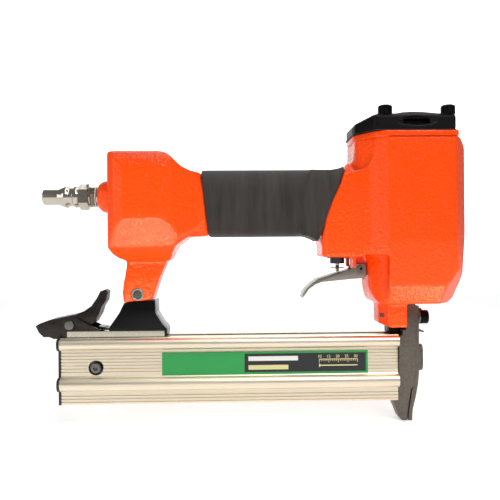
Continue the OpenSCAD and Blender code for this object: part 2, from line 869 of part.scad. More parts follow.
module air_plug() {
  color("gainsboro") translate([0, 0, inlet_z]) difference() {
    union() {
      rotate([0, 90, 0]) rotate_extrude() polygon([
        [0, plug_tip_x], [plug_nose_r - 0.6, plug_tip_x], [plug_nose_r, plug_tip_x + 0.8],
        [plug_nose_r, plug_nose_end_x], [6.7, -214], [6.7, -213], [5.8, -212],
        [5.8, -209.8], [6.7, -209.2], [6.7, plug_hex_x + over], [6.6, -199],
        [6.6, boss_face_x - 0.4], [inlet_r - 0.05, boss_face_x - 0.4],
        [inlet_r - 0.05, -182], [0, -182]
      ]);
      intersection() {
        x_rod(plug_hex_af / 2 / cos(30), plug_hex_x, plug_hex_x + plug_hex_h);
        along_x(plug_hex_x, plug_hex_x + plug_hex_h)
          rotate(0) circle(r = plug_hex_af / 2 / cos(30), $fn = 6);
      }
    }
    x_rod(plug_bore_r, plug_tip_x - over, -170);
  }
}

module plug_seal() {
  color("white") translate([boss_face_x - 0.4, 0, inlet_z]) rotate([0, 90, 0])
    difference() {
      cylinder(r = 6.5, h = 0.4);
      translate([0, 0, -over]) cylinder(r = inlet_r, h = 3);
    }
}

// ---- rail, bracket and latch ----

module fixed_rail() {
  color("lightgray") difference() {
    union() {
      block([strip_rear_x, -strip_half_w, strip_low_z],
            [strip_front_x, strip_half_w, strip_top_z]);
      block([strip_rear_x, web_near_y, web_low_z],
            [strip_front_x, web_far_y, strip_low_z + over]);
      block([strip_front_x - over, web_near_y, web_low_z],
            [web_front_x, web_far_y, strip_low_z]);
    }
    for (x = rivet_x) z_rod(rivet_hole_r, 50, 70, x, -5);
    for (x = rivet_x) z_rod(rivet_hole_r, 50, 70, x, 5);
  }
}

module support_bracket() {
  color("black") difference() {
    union() {
      side_prism(bracket_side, bracket_half_w);
      side_prism(tail_side, tail_half_w);
      block([tongue_x - tongue_half_x, -leg_slot_half_w + 0.1, 73],
            [tongue_x + tongue_half_x, leg_slot_half_w - 0.1, tongue_top_z]);
    }
    block([-190, bracket_t - bracket_half_w, strip_top_z + bracket_t],
          [bracket_web_x, bracket_half_w - bracket_t, 67.6]);
    y_rod(leg_pin_r, -20, 20, leg_pin_x, leg_pin_z);
    for (x = rivet_x, y = [-5, 5]) z_rod(rivet_hole_r, 50, 62, x, y);
  }
}

module bracket_rivets() {
  color("dimgray") for (x = rivet_x, y = [-5, 5]) {
    z_rod(rivet_r, strip_low_z + 0.2, strip_top_z + 2.2, x, y);
    z_rod(rivet_head_r, strip_top_z + bracket_t, strip_top_z + 3, x, y);
  }
}

module leg_bush() {
  color("silver") for (y = [-1, 1]) difference() {
    y_rod(leg_bush_r, min(y * 3.1, y * 8.2), max(y * 3.1, y * 8.2), leg_pin_x, leg_pin_z);
    y_rod(leg_pin_r, -20, 20, leg_pin_x, leg_pin_z);
  }
}

module leg_pin() {
  color("dimgray") y_rod(leg_pin_r, -7.6, 7.6, leg_pin_x, leg_pin_z);
}

module latch_ears() {
  color("gray") difference() {
    for (y = [-1, 1])
      translate([0, y * (ear_in_y + ear_out_y) / 2, 0])
        side_prism(ear_side, (ear_out_y - ear_in_y) / 2);
    y_rod(latch_pin_r, -20, 20, latch_x, latch_z);
  }
}

module latch_lever() {
  color("dimgray") difference() {
    union() {
      side_prism(lever_side, lever_half_w);
      side_prism(hook_side, hook_half_w);
    }
    y_rod(latch_pin_r + run, -20, 20, latch_x, latch_z);
    y_rod(latch_spring_r + 0.4, -4, 4, latch_x, latch_z);
    block([latch_x - 3.4, -4, 50], [latch_x + 3.4, 4, latch_z]);
  }
}

module latch_pin() {
  color("silver") {
    y_rod(latch_pin_r, -9.6, 9.6, latch_x, latch_z);
    y_rod(latch_pin_r + 1, -10.2, -ear_out_y, latch_x, latch_z);
    y_rod(latch_pin_r + 1, ear_out_y, 10.2, latch_x, latch_z);
  }
}

module latch_spring() {
  color("silver") difference() {
    y_rod(latch_spring_r, -3.4, 3.4, latch_x, latch_z);
    y_rod(latch_pin_r + 0.2, -4.4, 4.4, latch_x, latch_z);
  }
}

// ---- magazine ----

// Half outlines are mirrored: bulges at two heights beside a tall middle wall.
module mag_outline(grow = 0) {
  translate([0, (mag_floor_z + mag_top_z) / 2])
    square([2 * (mag_half_w + grow), mag_top_z - mag_floor_z], center = true);
  translate([0, (bulge_low_z + bulge_low_top_z) / 2])
    round_rect(bulge_half_w + grow, (bulge_low_top_z - bulge_low_z) / 2, 3.6);
  translate([0, (bulge_high_z + mag_top_z) / 2])
    round_rect(bulge_half_w + grow, (mag_top_z - bulge_high_z) / 2, 3.4);
  polygon([[-11.5, bulge_low_top_z - 1.5], [11.5, bulge_low_top_z - 1.5],
           [mag_half_w + grow, label_low_z - 0.1],
           [-mag_half_w - grow, label_low_z - 0.1]]);
}

module groove_cuts() {
  for (side = [-1, 1]) {
    for (i = [0 : upper_grooves])
      translate([side * mag_half_w, upper_groove_z + i * rib_pitch])
        square([2 * groove_d, 0.5], center = true);
    for (i = [0 : lower_grooves - 1])
      translate([side * mag_half_w, lower_groove_z + i * rib_pitch])
        square([2 * groove_d, 0.5], center = true);
  }
}

module magazine_shell() {
  color("wheat") difference() {
    along_x(mag_rear_x, mag_front_x) difference() {
      mag_outline();
      groove_cuts();
      translate([-slot_half_w, slot_floor_z])
        square([2 * slot_half_w, mag_top_z - slot_floor_z + over]);
    }
    y_rod(seat_screw_hole_r, -20, -slot_half_w + 0.1, seat_screw_x, seat_screw_z);
    x_rod(plate_screw_r, mag_rear_x - over, mag_rear_x + 12, plate_screw_y, plate_screw_z);
  }
}

module magazine_label() {
  color("green")
    block([label_rear_x, -mag_half_w - label_t, label_low_z],
          [label_front_x, -mag_half_w, label_top_z]);
}

module end_plate() {
  color("black") difference() {
    along_x(mag_rear_x - plate_t, mag_rear_x) difference() {
      mag_outline(plate_grow);
      translate([-slot_half_w, notch_z]) square([2 * slot_half_w, 10]);
    }
    x_rod(plate_screw_r, mag_rear_x - 10, mag_rear_x + over, plate_screw_y, plate_screw_z);
    x_rod(rod_r, mag_rear_x - 10, mag_rear_x + over, 0, rod_z);
  }
}

module plate_screw() {
  color("dimgray") {
    x_rod(plate_screw_r, mag_rear_x - plate_t - over, mag_rear_x + 12,
          plate_screw_y, plate_screw_z);
    difference() {
      x_rod(plate_screw_head_r, mag_rear_x - plate_t - 1.7, mag_rear_x - plate_t,
            plate_screw_y, plate_screw_z);
      translate([mag_rear_x - plate_t - 0.8, plate_screw_y, plate_screw_z])
        rotate([0, -90, 0]) key_socket(1.2, over);
    }
  }
}

module spring_seat() {
  color("dimgray") difference() {
    block([mag_rear_x, -slot_half_w + 0.1, slot_floor_z],
          [seat_front_x, slot_half_w - 0.1, spring_seat_top_z]);
    x_rod(rod_r, mag_rear_x - over, seat_front_x + over, 0, rod_z);
    y_rod(seat_screw_r - 0.8, -10, 1, seat_screw_x, seat_screw_z);
  }
}

module seat_screw() {
  color("dimgray") difference() {
    union() {
      y_rod(seat_screw_r, -9.6, -slot_half_w + 0.1, seat_screw_x, seat_screw_z);
      y_rod(seat_screw_r - 0.8, -9, 1, seat_screw_x, seat_screw_z);
    }
    translate([seat_screw_x, -7.8, seat_screw_z]) rotate([90, 0, 0]) key_socket(1.6, 2);
  }
}

module guide_rod() {
  color("silver") x_rod(rod_r, mag_rear_x - plate_t, rod_front_x, 0, rod_z);
}

module pusher() {
  color("silver") difference() {
    union() {
      block([pusher_rear_x, -slot_half_w + 0.4, pusher_low_z],
            [pusher_front_x, slot_half_w - 0.4, pusher_top_z]);
      block([pusher_rear_x, -pusher_blade_t / 2, pusher_top_z - over],
            [pusher_front_x, pusher_blade_t / 2, pusher_blade_top_z]);
    }
    x_rod(rod_r + run, pusher_rear_x - over, pusher_front_x + over, 0, rod_z);
  }
}

module pusher_spring() {
  color("silver") difference() {
    x_rod(spring_out_r, seat_front_x, pusher_rear_x, 0, rod_z);
    x_rod(spring_out_r - spring_t, seat_front_x - over, pusher_rear_x + over, 0, rod_z);
  }
}

housing();
grip_sleeve();
cylinder_cap();
cap_gasket();
cap_screws();
color("silver") cylinder_barrel();  // cylinder
cylinder_seals();
bumper();
piston();
piston_ring();
driver_blade();
head_valve();
head_valve_rings();
head_valve_spring();
driver_guide();
guide_cover();
guide_screws();
guide_washers();
rail_spacer();
rail_pin();
valve_body();
valve_seals();
valve_spring();
valve_stem();
stem_clip();
trigger();
trigger_pin();
air_plug();
plug_seal();
fixed_rail();
support_bracket();
bracket_rivets();
leg_bush();
leg_pin();
latch_ears();
latch_lever();
latch_pin();
latch_spring();
magazine_shell();
magazine_label();
end_plate();
plate_screw();
spring_seat();
seat_screw();
guide_rod();
pusher();
pusher_spring();
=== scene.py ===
"""Pneumatic brad nailer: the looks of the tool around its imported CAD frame.

Every piece is modelled in metres in the frame of the CAD, from outlines in millimetres.
+X points forward to the head, +Z up, and the nose tip's face is at the origin.
"""

import json
import math

import bpy
from mathutils import Matrix, Vector


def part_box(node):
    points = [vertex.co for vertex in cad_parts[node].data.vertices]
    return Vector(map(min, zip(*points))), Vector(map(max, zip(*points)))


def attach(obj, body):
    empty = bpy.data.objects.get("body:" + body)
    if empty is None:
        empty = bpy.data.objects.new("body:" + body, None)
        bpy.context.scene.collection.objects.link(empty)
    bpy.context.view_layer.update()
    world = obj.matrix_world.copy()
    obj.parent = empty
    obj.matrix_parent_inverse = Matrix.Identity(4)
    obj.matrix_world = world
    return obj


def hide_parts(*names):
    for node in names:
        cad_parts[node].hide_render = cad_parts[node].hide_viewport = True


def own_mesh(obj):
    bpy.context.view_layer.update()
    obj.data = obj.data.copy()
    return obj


bl_info = {
    "name": "Brad nailer",
    "version": (1, 0, 0),
    "blender": (4, 5, 0),
    "location": "View3D > Sidebar > Nailer",
    "description": "Models a pneumatic brad nailer around its packed frame",
    "category": "Object",
}

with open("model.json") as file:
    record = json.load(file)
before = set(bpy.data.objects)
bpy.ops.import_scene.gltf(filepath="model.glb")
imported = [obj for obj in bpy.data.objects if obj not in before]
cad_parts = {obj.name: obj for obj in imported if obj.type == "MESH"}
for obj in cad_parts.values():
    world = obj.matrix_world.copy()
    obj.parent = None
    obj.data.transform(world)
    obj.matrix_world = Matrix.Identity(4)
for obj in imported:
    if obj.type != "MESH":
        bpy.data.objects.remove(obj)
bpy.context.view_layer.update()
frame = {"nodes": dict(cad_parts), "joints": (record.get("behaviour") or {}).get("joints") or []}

MM = 0.001
SIDES = (-1, 1)


def cad_box(node):
    """A CAD node's lowest and highest corner, in millimetres."""
    low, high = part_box(node)
    return low / MM, high / MM


def cad_centre(node):
    low, high = cad_box(node)
    return (low + high) / 2


def joint_point(name):
    """A hinge's place, in millimetres."""
    joint = next(j for j in frame["joints"] if j["name"] == name)
    return Vector(joint["pos_m"]) / MM


# The driving places of the tool, all taken from the frame
BARREL = cad_centre("cylinder")
DRIVE_X = BARREL.x
BODY_HIGH = cad_box("housing")[1]
CAP_LOW, CAP_HIGH = cad_box("cylinder_cap")
GRIP_LOW, GRIP_HIGH = cad_box("grip_sleeve")
SHELL_LOW, SHELL_HIGH = cad_box("magazine_shell")
PLUG_LOW, PLUG_HIGH = cad_box("air_plug")
TRIGGER_PIN = joint_point("trigger_pull")
LATCH_PIN = joint_point("latch_swing")
VALVE = cad_centre("valve_body")
LEG_PIN = cad_centre("leg_pin")
CROSS_PIN = cad_centre("rail_pin")
INLET_Z = cad_centre("air_plug").z
GRIP_Z = (GRIP_LOW.z + GRIP_HIGH.z) / 2

# Cap screws, to the front and rear of the barrel on both sides
SCREW_X = 19
SCREW_Y = 21
SCREW_SEAT_Z = 187.6


# ---- colours and sizes that a user may change ----


def from_hex(text):
    """Turns an sRGB hex value into linear red, green, blue and alpha."""
    channels = [int(text[i : i + 2], 16) / 255 for i in (0, 2, 4)]
    linear = [
        c / 12.92 if c <= 0.04045 else ((c + 0.055) / 1.055) ** 2.4 for c in channels
    ]
    return (*linear, 1.0)


def colour_prop(name, description, hex_value):
    return bpy.props.FloatVectorProperty(
        name=name,
        description=description,
        default=from_hex(hex_value),
        subtype="COLOR",
        size=4,
        min=0.0,
        max=1.0,
    )


def length_prop(name, description, millimetres):
    return bpy.props.FloatProperty(
        name=name,
        description=description,
        default=millimetres * MM,
        unit="LENGTH",
        subtype="DISTANCE",
        min=0.0,
        precision=5,
    )


class NailerColours(bpy.types.PropertyGroup):
    """Colours of the nailer's finishes."""

    body: colour_prop("Body enamel", "Sprayed enamel on the cast body", "EC4600")
    grip: colour_prop("Grip rubber", "Foam rubber sleeve on the handle", "2A2622")
    cap: colour_prop("Cap paint", "Black paint on the head cap", "0C0A0B")
    oxide: colour_prop("Black oxide", "Blackened steel of the screws", "1C1A1B")
    nose: colour_prop("Nose steel", "Cast and blackened steel of the nose", "6A645B")
    lever: colour_prop("Latch iron", "Cast iron of the latch lever", "3F3A38")
    magazine: colour_prop("Anodising", "Champagne anodised magazine", "E9DFC9")
    label: colour_prop("Label field", "Printed field of the label", "1FA24B")
    ink: colour_prop("Label ink", "Dark panel of the label", "15181B")


class NailerSizes(bpy.types.PropertyGroup):
    """Sizes of the nailer's finer shapes."""

    cast_voxel: length_prop("Casting grid", "Grid that the cast body is fused on", 0.8)
    sleeve_voxel: length_prop("Sleeve grid", "Grid that the sleeve is fused on", 0.9)
    cap_voxel: length_prop("Cap grid", "Grid that the head cap is fused on", 0.7)
    cast_grain: length_prop("Enamel grain", "Spacing of the enamel's orange peel", 2.0)
    rib_pitch: length_prop("Rib pitch", "Spacing of the magazine's ribs", 1.95)
    rib_depth: length_prop("Rib depth", "Depth of the magazine's ribs", 0.6)


def colours():
    return bpy.context.scene.nailer_colours


def sizes():
    return bpy.context.scene.nailer_sizes


# ---- mesh work, as done by hand in edit mode ----


def settle():
    """Leaves edit mode and deselects everything."""
    active = bpy.context.view_layer.objects.active
    if active is not None and active.mode != "OBJECT":
        bpy.ops.object.mode_set(mode="OBJECT")
    bpy.ops.object.select_all(action="DESELECT")


def choose(piece):
    settle()
    piece.select_set(True)
    bpy.context.view_layer.objects.active = piece


def edit(piece):
    """Opens a piece in edit mode with everything selected."""
    choose(piece)
    bpy.ops.object.mode_set(mode="EDIT")
    bpy.ops.mesh.select_all(action="SELECT")


def done():
    bpy.ops.object.mode_set(mode="OBJECT")


def name_it(name):
    """Names the new primitive and puts its place into its mesh."""
    piece = bpy.context.view_layer.objects.active
    piece.name = name
    piece.data.name = name
    bpy.ops.object.transform_apply(location=True, rotation=True, scale=True)
    return piece


def block(name, low, high):
    """A box from its lowest corner to its highest corner."""
    settle()
    low, high = Vector(low) * MM, Vector(high) * MM
    bpy.ops.mesh.primitive_cube_add(size=1, location=(low + high) / 2, scale=high - low)
    return name_it(name)


def rod(name, radius, start, end, sides=48):
    """A round bar between two points."""
    settle()
    start, end = Vector(start) * MM, Vector(end) * MM
    along = end - start
    bpy.ops.mesh.primitive_cone_add(
        vertices=sides,
        radius1=radius * MM,
        radius2=radius * MM,
        depth=along.length,
        location=(start + end) / 2,
        rotation=along.to_track_quat("Z", "Y").to_euler(),
    )
    return name_it(name)


def slab(name, outline, low, high, axis="Y"):
    """Extrudes a flat outline along an axis. Pairs are (x, z), (x, y) or (y, z)."""
    places = {
        "X": lambda u, v, w: (w, u, v),
        "Y": lambda u, v, w: (u, w, v),
        "Z": lambda u, v, w: (u, v, w),
    }
    settle()
    bpy.ops.mesh.primitive_circle_add(vertices=len(outline), fill_type="NGON")
    piece = name_it(name)
    for vertex, (u, v) in zip(piece.data.vertices, outline):
        vertex.co = Vector(places[axis](u, v, low)) * MM
    step = Vector(places[axis](0, 0, high - low)) * MM
    edit(piece)
    bpy.ops.mesh.extrude_region_move(TRANSFORM_OT_translate={"value": step})
    bpy.ops.mesh.select_all(action="SELECT")
    bpy.ops.mesh.normals_make_consistent(inside=False)
    done()
    return piece


def turned(name, profile, centre, axis="X", sides=64):
    """Spins a closed half section of (distance along, radius) pairs round an axis."""
    settle()
    bpy.ops.mesh.primitive_circle_add(vertices=len(profile), fill_type="NOTHING")
    piece = name_it(name)
    centre = Vector(centre) * MM
    for vertex, (along, radius) in zip(piece.data.vertices, profile):
        offset = (along, 0, radius) if axis == "X" else (radius, 0, along)
        vertex.co = centre + Vector(offset) * MM
    direction = {"X": (1, 0, 0), "Z": (0, 0, 1)}[axis]
    edit(piece)
    bpy.ops.mesh.spin(steps=sides, angle=2 * math.pi, center=centre, axis=direction)
    bpy.ops.mesh.select_all(action="SELECT")
    bpy.ops.mesh.remove_doubles(threshold=0.002 * MM)
    bpy.ops.mesh.dissolve_degenerate(threshold=0.001 * MM)
    bpy.ops.mesh.normals_make_consistent(inside=False)
    done()
    return piece


def trim(piece, point, normal):
    """Cuts off what lies beyond a plane and closes the cut."""
    edit(piece)
    bpy.ops.mesh.bisect(
        plane_co=Vector(point) * MM,
        plane_no=Vector(normal).normalized(),
        use_fill=True,
        clear_outer=True,
    )
    done()
    return piece


def trim_both(piece, point, normal):
    """The same cut on the near side and mirrored on the far side."""
    for side in SIDES:
        trim(
            piece,
            (point[0], side * abs(point[1]), point[2]),
            (normal[0], side * abs(normal[1]), normal[2]),
        )
    return piece


def modify(piece, kind, **settings):
    """Adds a modifier and applies it."""
    choose(piece)
    modifier = piece.modifiers.new(kind.title(), kind)
    for key, value in settings.items():
        setattr(modifier, key, value)
    bpy.ops.object.modifier_apply(modifier=modifier.name)
    return piece


def bevel(piece, width, segments=3, angle=30):
    return modify(
        piece,
        "BEVEL",
        width=width * MM,
        segments=segments,
        limit_method="ANGLE",
        angle_limit=math.radians(angle),
        use_clamp_overlap=True,
        harden_normals=False,
    )


def combine(piece, other, operation):
    """Joins, cuts or intersects a piece with another, which is used up."""
    modify(piece, "BOOLEAN", operation=operation, solver="MANIFOLD", object=other)
    bpy.data.objects.remove(other)
    return piece


def weld(piece, *others):
    for other in others:
        combine(piece, other, "UNION")
    return piece


def carve(piece, *tools):
    for tool in tools:
        combine(piece, tool, "DIFFERENCE")
    return piece


def cast(piece, voxel, relax):
    """Fuses a piece on an even grid and relaxes it, which rounds its edges and corners."""
    modify(piece, "REMESH", mode="VOXEL", voxel_size=voxel, adaptivity=0.0)
    modify(piece, "SMOOTH", factor=0.5, iterations=relax)
    return piece


def smooth(piece, angle=35):
    choose(piece)
    bpy.ops.object.shade_smooth_by_angle(angle=math.radians(angle))
    return piece


def copy_of(node, edge, segments=2, angle=30):
    """A welded copy of a CAD node's mesh, its flat faces made whole and its edges broken."""
    source = frame["nodes"][node]
    settle()
    piece = bpy.data.objects.new(node, source.data.copy())
    bpy.context.scene.collection.objects.link(piece)
    piece.data.materials.clear()
    edit(piece)
    bpy.ops.mesh.remove_doubles(threshold=0.001 * MM)
    bpy.ops.mesh.dissolve_limited(angle_limit=math.radians(0.2))
    bpy.ops.mesh.customdata_custom_splitnormals_clear()
    done()
    bevel(piece, edge, segments, angle)
    return smooth(piece)


def coil(name, wire, radius, start, end, turns, sides=8, steps=20):
    """A round wire wound between two points, with its ends closed."""
    start, end = Vector(start), Vector(end)
    along = end - start
    pitch = (along.length - 2 * wire) / turns
    settle()
    bpy.ops.mesh.primitive_circle_add(
        vertices=sides,
        radius=wire * MM,
        location=(radius * MM, 0, wire * MM),
        rotation=(math.pi / 2, 0, 0),
    )
    piece = name_it(name)
    modify(
        piece,
        "SCREW",
        axis="Z",
        angle=2 * math.pi,
        screw_offset=pitch * MM,
        iterations=turns,
        steps=steps,
        render_steps=steps,
        use_merge_vertices=False,
    )
    edit(piece)
    bpy.ops.mesh.select_all(action="DESELECT")
    bpy.ops.mesh.select_non_manifold()
    bpy.ops.mesh.edge_face_add()
    bpy.ops.mesh.select_all(action="SELECT")
    bpy.ops.mesh.normals_make_consistent(inside=False)
    done()
    turn = along.to_track_quat("Z", "Y").to_matrix().to_4x4()
    piece.data.transform(Matrix.Translation(start * MM) @ turn)
    return smooth(piece, 60)


def finish_piece(piece, body, slot, material, *nodes):
    """Gives a piece its finish, its body and the CAD nodes that it stands for."""
    piece.data.materials.clear()
    piece.data.materials.append(material)
    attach(piece, body)
    if nodes:
        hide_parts(*nodes)
    return piece


# ---- finishes ----


def add(tree, kind, settings=None, links=None):
    """Adds a node with its settings and links."""
    made = tree.nodes.new(kind)
    for key, value in (settings or {}).items():
        if key in made.inputs:
            made.inputs[key].default_value = value
        else:
            setattr(made, key, value)
    for key, source in (links or {}).items():
        tree.links.new(source, made.inputs[key])
    return made


def start_material(name, **sockets):
    """A material whose shader has the given constant sockets."""
    material = bpy.data.materials.new(name)
    material.use_nodes = True
    tree = material.node_tree
    shader = tree.nodes["Principled BSDF"]
    for key, value in sockets.items():
        shader.inputs[key.replace("_", " ")].default_value = value
    return material, tree, shader


def tint(colour, share):
    """The colour made lighter or darker by a share."""
    return tuple(min(1.0, c * share) for c in colour[:3]) + (1.0,)


def mottle(tree, shader, colour, size_mm, low, high, stretch=(1, 1, 1), detail=3.0):
    """Varies the base colour between two shares of it, in patches of a size."""
    place = add(tree, "ShaderNodeTexCoord")
    mapping = add(
        tree, "ShaderNodeMapping", {"Scale": stretch}, {"Vector": place.outputs["Object"]}
    )
    noise = add(
        tree,
        "ShaderNodeTexNoise",
        {"Scale": 1 / (size_mm * MM), "Detail": detail, "Roughness": 0.6},
        {"Vector": mapping.outputs["Vector"]},
    )
    ramp = add(tree, "ShaderNodeValToRGB", {}, {"Fac": noise.outputs["Fac"]})
    ramp.color_ramp.elements[0].position = 0.32
    ramp.color_ramp.elements[1].position = 0.68
    ramp.color_ramp.elements[0].color = tint(colour, low)
    ramp.color_ramp.elements[1].color = tint(colour, high)
    tree.links.new(ramp.outputs["Color"], shader.inputs["Base Color"])
    return mapping, noise


def grain(tree, shader, vector, size_mm, depth_mm, strength, detail=2.0):
    """Raises a fine random relief of a size and depth on the surface."""
    noise = add(
        tree,
        "ShaderNodeTexNoise",
        {"Scale": 1 / (size_mm * MM), "Detail": detail, "Roughness": 0.55},
        {"Vector": vector},
    )
    bump = add(
        tree,
        "ShaderNodeBump",
        {"Strength": strength, "Distance": depth_mm * MM},
        {"Height": noise.outputs["Fac"]},
    )
    tree.links.new(bump.outputs["Normal"], shader.inputs["Normal"])
    return noise, bump


def uneven_gloss(tree, shader, source, low, high):
    """Lets a pattern move the roughness between two values."""
    spread = add(
        tree,
        "ShaderNodeMapRange",
        {"From Min": 0.3, "From Max": 0.7, "To Min": low, "To Max": high},
        {"Value": source},
    )
    tree.links.new(spread.outputs["Result"], shader.inputs["Roughness"])


def enamel():
    """Sprayed enamel over a die casting: bright and glossy, with an orange peel."""
    colour = tuple(colours().body)
    material, tree, shader = start_material(
        "sprayed_enamel_on_casting", Roughness=0.26, Metallic=0.0, IOR=1.5
    )
    shader.inputs["Specular IOR Level"].default_value = 0.3
    mapping, _ = mottle(tree, shader, colour, 30, 0.94, 1.03)
    size = sizes().cast_grain / MM
    peel, bump = grain(tree, shader, mapping.outputs["Vector"], size, 0.45, 1.0, 2.5)
    fine = add(
        tree,
        "ShaderNodeTexNoise",
        {"Scale": 1 / (0.9 * MM), "Detail": 1.0},
        {"Vector": mapping.outputs["Vector"]},
    )
    second = add(
        tree,
        "ShaderNodeBump",
        {"Strength": 0.9, "Distance": 0.22 * MM},
        {"Height": fine.outputs["Fac"], "Normal": bump.outputs["Normal"]},
    )
    tree.links.new(second.outputs["Normal"], shader.inputs["Normal"])
    uneven_gloss(tree, shader, peel.outputs["Fac"], 0.1, 0.22)
    return material


def rubber():
    """Foam rubber: dull, dark brown-grey, finely pitted, with paler and darker bands along the
    handle that are painted light and shade standing in for shallow ripples.
    """
    colour = tuple(colours().grip)
    material, tree, shader = start_material(
        "foam_rubber_sleeve", Roughness=0.72, IOR=1.5
    )
    shader.inputs["Sheen Weight"].default_value = 0.12
    shader.inputs["Sheen Roughness"].default_value = 0.5
    # Paler and darker bands along the handle: painted highlights and painted shade in place of
    # light on shallow ripples of the sleeve
    painted_ripple_bands = (1, 0.12, 0.12)
    mapping, _ = mottle(tree, shader, colour, 5, 0.55, 1.5, painted_ripple_bands, 8.0)
    grain(tree, shader, mapping.outputs["Vector"], 1.2, 0.2, 0.7, 4.0)
    return material


def cap_paint():
    """Black paint on a sand-textured casting: soft sheen, slightly grainy."""
    material, tree, shader = start_material("black_paint_on_casting", Roughness=0.42)
    shader.inputs["Specular IOR Level"].default_value = 0.14
    mapping, _ = mottle(tree, shader, tuple(colours().cap), 8, 0.8, 1.3)
    noise, bump = grain(tree, shader, mapping.outputs["Vector"], 0.8, 0.08, 0.45)
    uneven_gloss(tree, shader, noise.outputs["Fac"], 0.32, 0.5)
    return material


def metal(name, colour, roughness, size_mm=5, spread=0.12, depth=0.02, stretch=(1, 1, 1)):
    """A bare or blackened metal with tool marks that may run along one axis."""
    material, tree, shader = start_material(name, Metallic=1.0, Roughness=roughness)
    mapping, noise = mottle(
        tree, shader, colour, size_mm, 1 - spread, 1 + spread, stretch
    )
    grain(tree, shader, mapping.outputs["Vector"], size_mm / 8, depth, 0.5)
    uneven_gloss(tree, shader, noise.outputs["Fac"], roughness * 0.8, roughness * 1.25)
    return material


def nose_steel():
    """Investment cast steel, blackened and rubbed: brown-grey, satin, faintly gritty."""
    material, tree, shader = start_material(
        "investment_cast_steel", Metallic=0.75, Roughness=0.46
    )
    mapping, _ = mottle(tree, shader, tuple(colours().nose), 1.6, 0.86, 1.14)
    grain(tree, shader, mapping.outputs["Vector"], 0.6, 0.07, 0.4)
    return material


def anodised():
    """Anodised extrusion: warm pale metal with faint die lines along its length."""
    return metal(
        "champagne_anodised_extrusion",
        tuple(colours().magazine),
        0.4,
        2.0,
        0.05,
        0.015,
        (0.02, 1, 1),
    )


def plain(name, colour, roughness, size_mm=4, spread=0.1, specular=0.5):
    """A simple moulded, painted or printed finish with a slight variation."""
    material, tree, shader = start_material(name, Roughness=roughness)
    shader.inputs["Specular IOR Level"].default_value = specular
    mapping, _ = mottle(
        tree, shader, colour, size_mm, 1 - spread, 1 + spread
    )
    grain(tree, shader, mapping.outputs["Vector"], size_mm / 6, 0.02, 0.3)
    return material


MADE = {}


def finish(name):
    """Makes each finish once, when a piece first asks for it."""
    makers = {
        "enamel": enamel,
        "rubber": rubber,
        "cap": cap_paint,
        "nose": nose_steel,
        "anodised": anodised,
        "oxide": lambda: metal("black_oxide_steel", tuple(colours().oxide), 0.42),
        "lever": lambda: metal(
            "tumbled_cast_iron", tuple(colours().lever), 0.42, 3, 0.15, 0.05
        ),
        "nickel": lambda: metal("nickel_plate", from_hex("BDB6AA"), 0.14, 8, 0.03, 0.004),
        "zinc": lambda: metal("zinc_plated_strip", from_hex("B9B4A4"), 0.24, 6, 0.1, 0.02),
        "steel": lambda: metal(
            "brushed_steel", from_hex("958F86"), 0.36, 1.5, 0.12, 0.02, (0.08, 1, 1)
        ),
        "dull_steel": lambda: metal("dull_steel", from_hex("7A7872"), 0.4, 3, 0.12),
        "spring": lambda: metal("spring_wire", from_hex("8F8C86"), 0.3, 3, 0.06),
        "gloss_black": lambda: plain(
            "black_stove_enamel", from_hex("080708"), 0.24, 12, 0.2, 0.22
        ),
        "black_plastic": lambda: plain("moulded_nylon", from_hex("1A1A1B"), 0.4),
        "seal": lambda: plain("nitrile_rubber", from_hex("141414"), 0.6),
        "bumper": lambda: plain("cast_urethane", from_hex("2A3038"), 0.5),
        "tape": lambda: plain("thread_tape", from_hex("E9E9E6"), 0.6),
        "acetal": lambda: plain("acetal", from_hex("E4DFD0"), 0.45),
        "aluminium": lambda: metal("machined_aluminium", from_hex("C4C6C9"), 0.28, 2, 0.06),
        "label": lambda: plain("printed_film", tuple(colours().label), 0.25, 20, 0.03),
        "label_ink": lambda: plain("printed_ink", tuple(colours().ink), 0.28, 20, 0.05),
        "label_white": lambda: plain("printed_white", from_hex("F2F2EC"), 0.35, 20, 0.02),
        "label_gold": lambda: plain("printed_gold", from_hex("E8DFA0"), 0.35, 20, 0.04),
    }
    if name not in MADE:
        MADE[name] = makers[name]()
    return MADE[name]


# ---- the cast body ----

def mirrored(half):
    """A plan outline from the points of one of its sides, in order along X."""
    return half + [(x, -y) for x, y in reversed(half)]


HEAD_PLAN = mirrored(
    [
        (-36.4, -10), (-35, -14.6), (-25.6, -25.4), (-18.6, -30), (21, -30), (30, -17.4),
        (31, -15),
    ]
)
HEAD_SIDE = [
    (-35.8, 174), (-35.8, 167.3), (-36.6, 160), (-36.6, 104), (-30, 104), (-28.6, 101),
    (-28.6, 91), (-27.9, 89), (-27.9, 86.4), (-26.4, 80.9), (-24.4, 76.6), (-21.8, 74),
    (20.2, 74), (24.2, 77.4), (26.4, 86.9), (30.4, 114.1), (31, 116.8), (31, 167),
    (30, 169.6), (27.5, 172.2), (24.5, 174),
]
HEAD_FRONT = [
    (-20.5, 74), (20.5, 74), (27.7, 85.4), (30, 111.4), (30, 174), (-30, 174),
    (-30, 111.4), (-27.7, 85.4),
]
RIM_PLAN = mirrored(
    [(-36.4, -9), (-35.4, -13.4), (-26.6, -26.4), (-19.8, -29.3), (22.8, -29.3)]
)
NECK_SIDE = [
    (-41.6, 157.4), (-45.2, 147.2), (-50.3, 135.8), (-54.5, 124.3), (-56.8, 111.3),
    (-56.2, 107.9), (-56.4, 103.9), (-55.2, 102.6), (-37, 102.4), (-34, 104),
    (-26, 104), (-26, 160), (-40, 160.6),
]
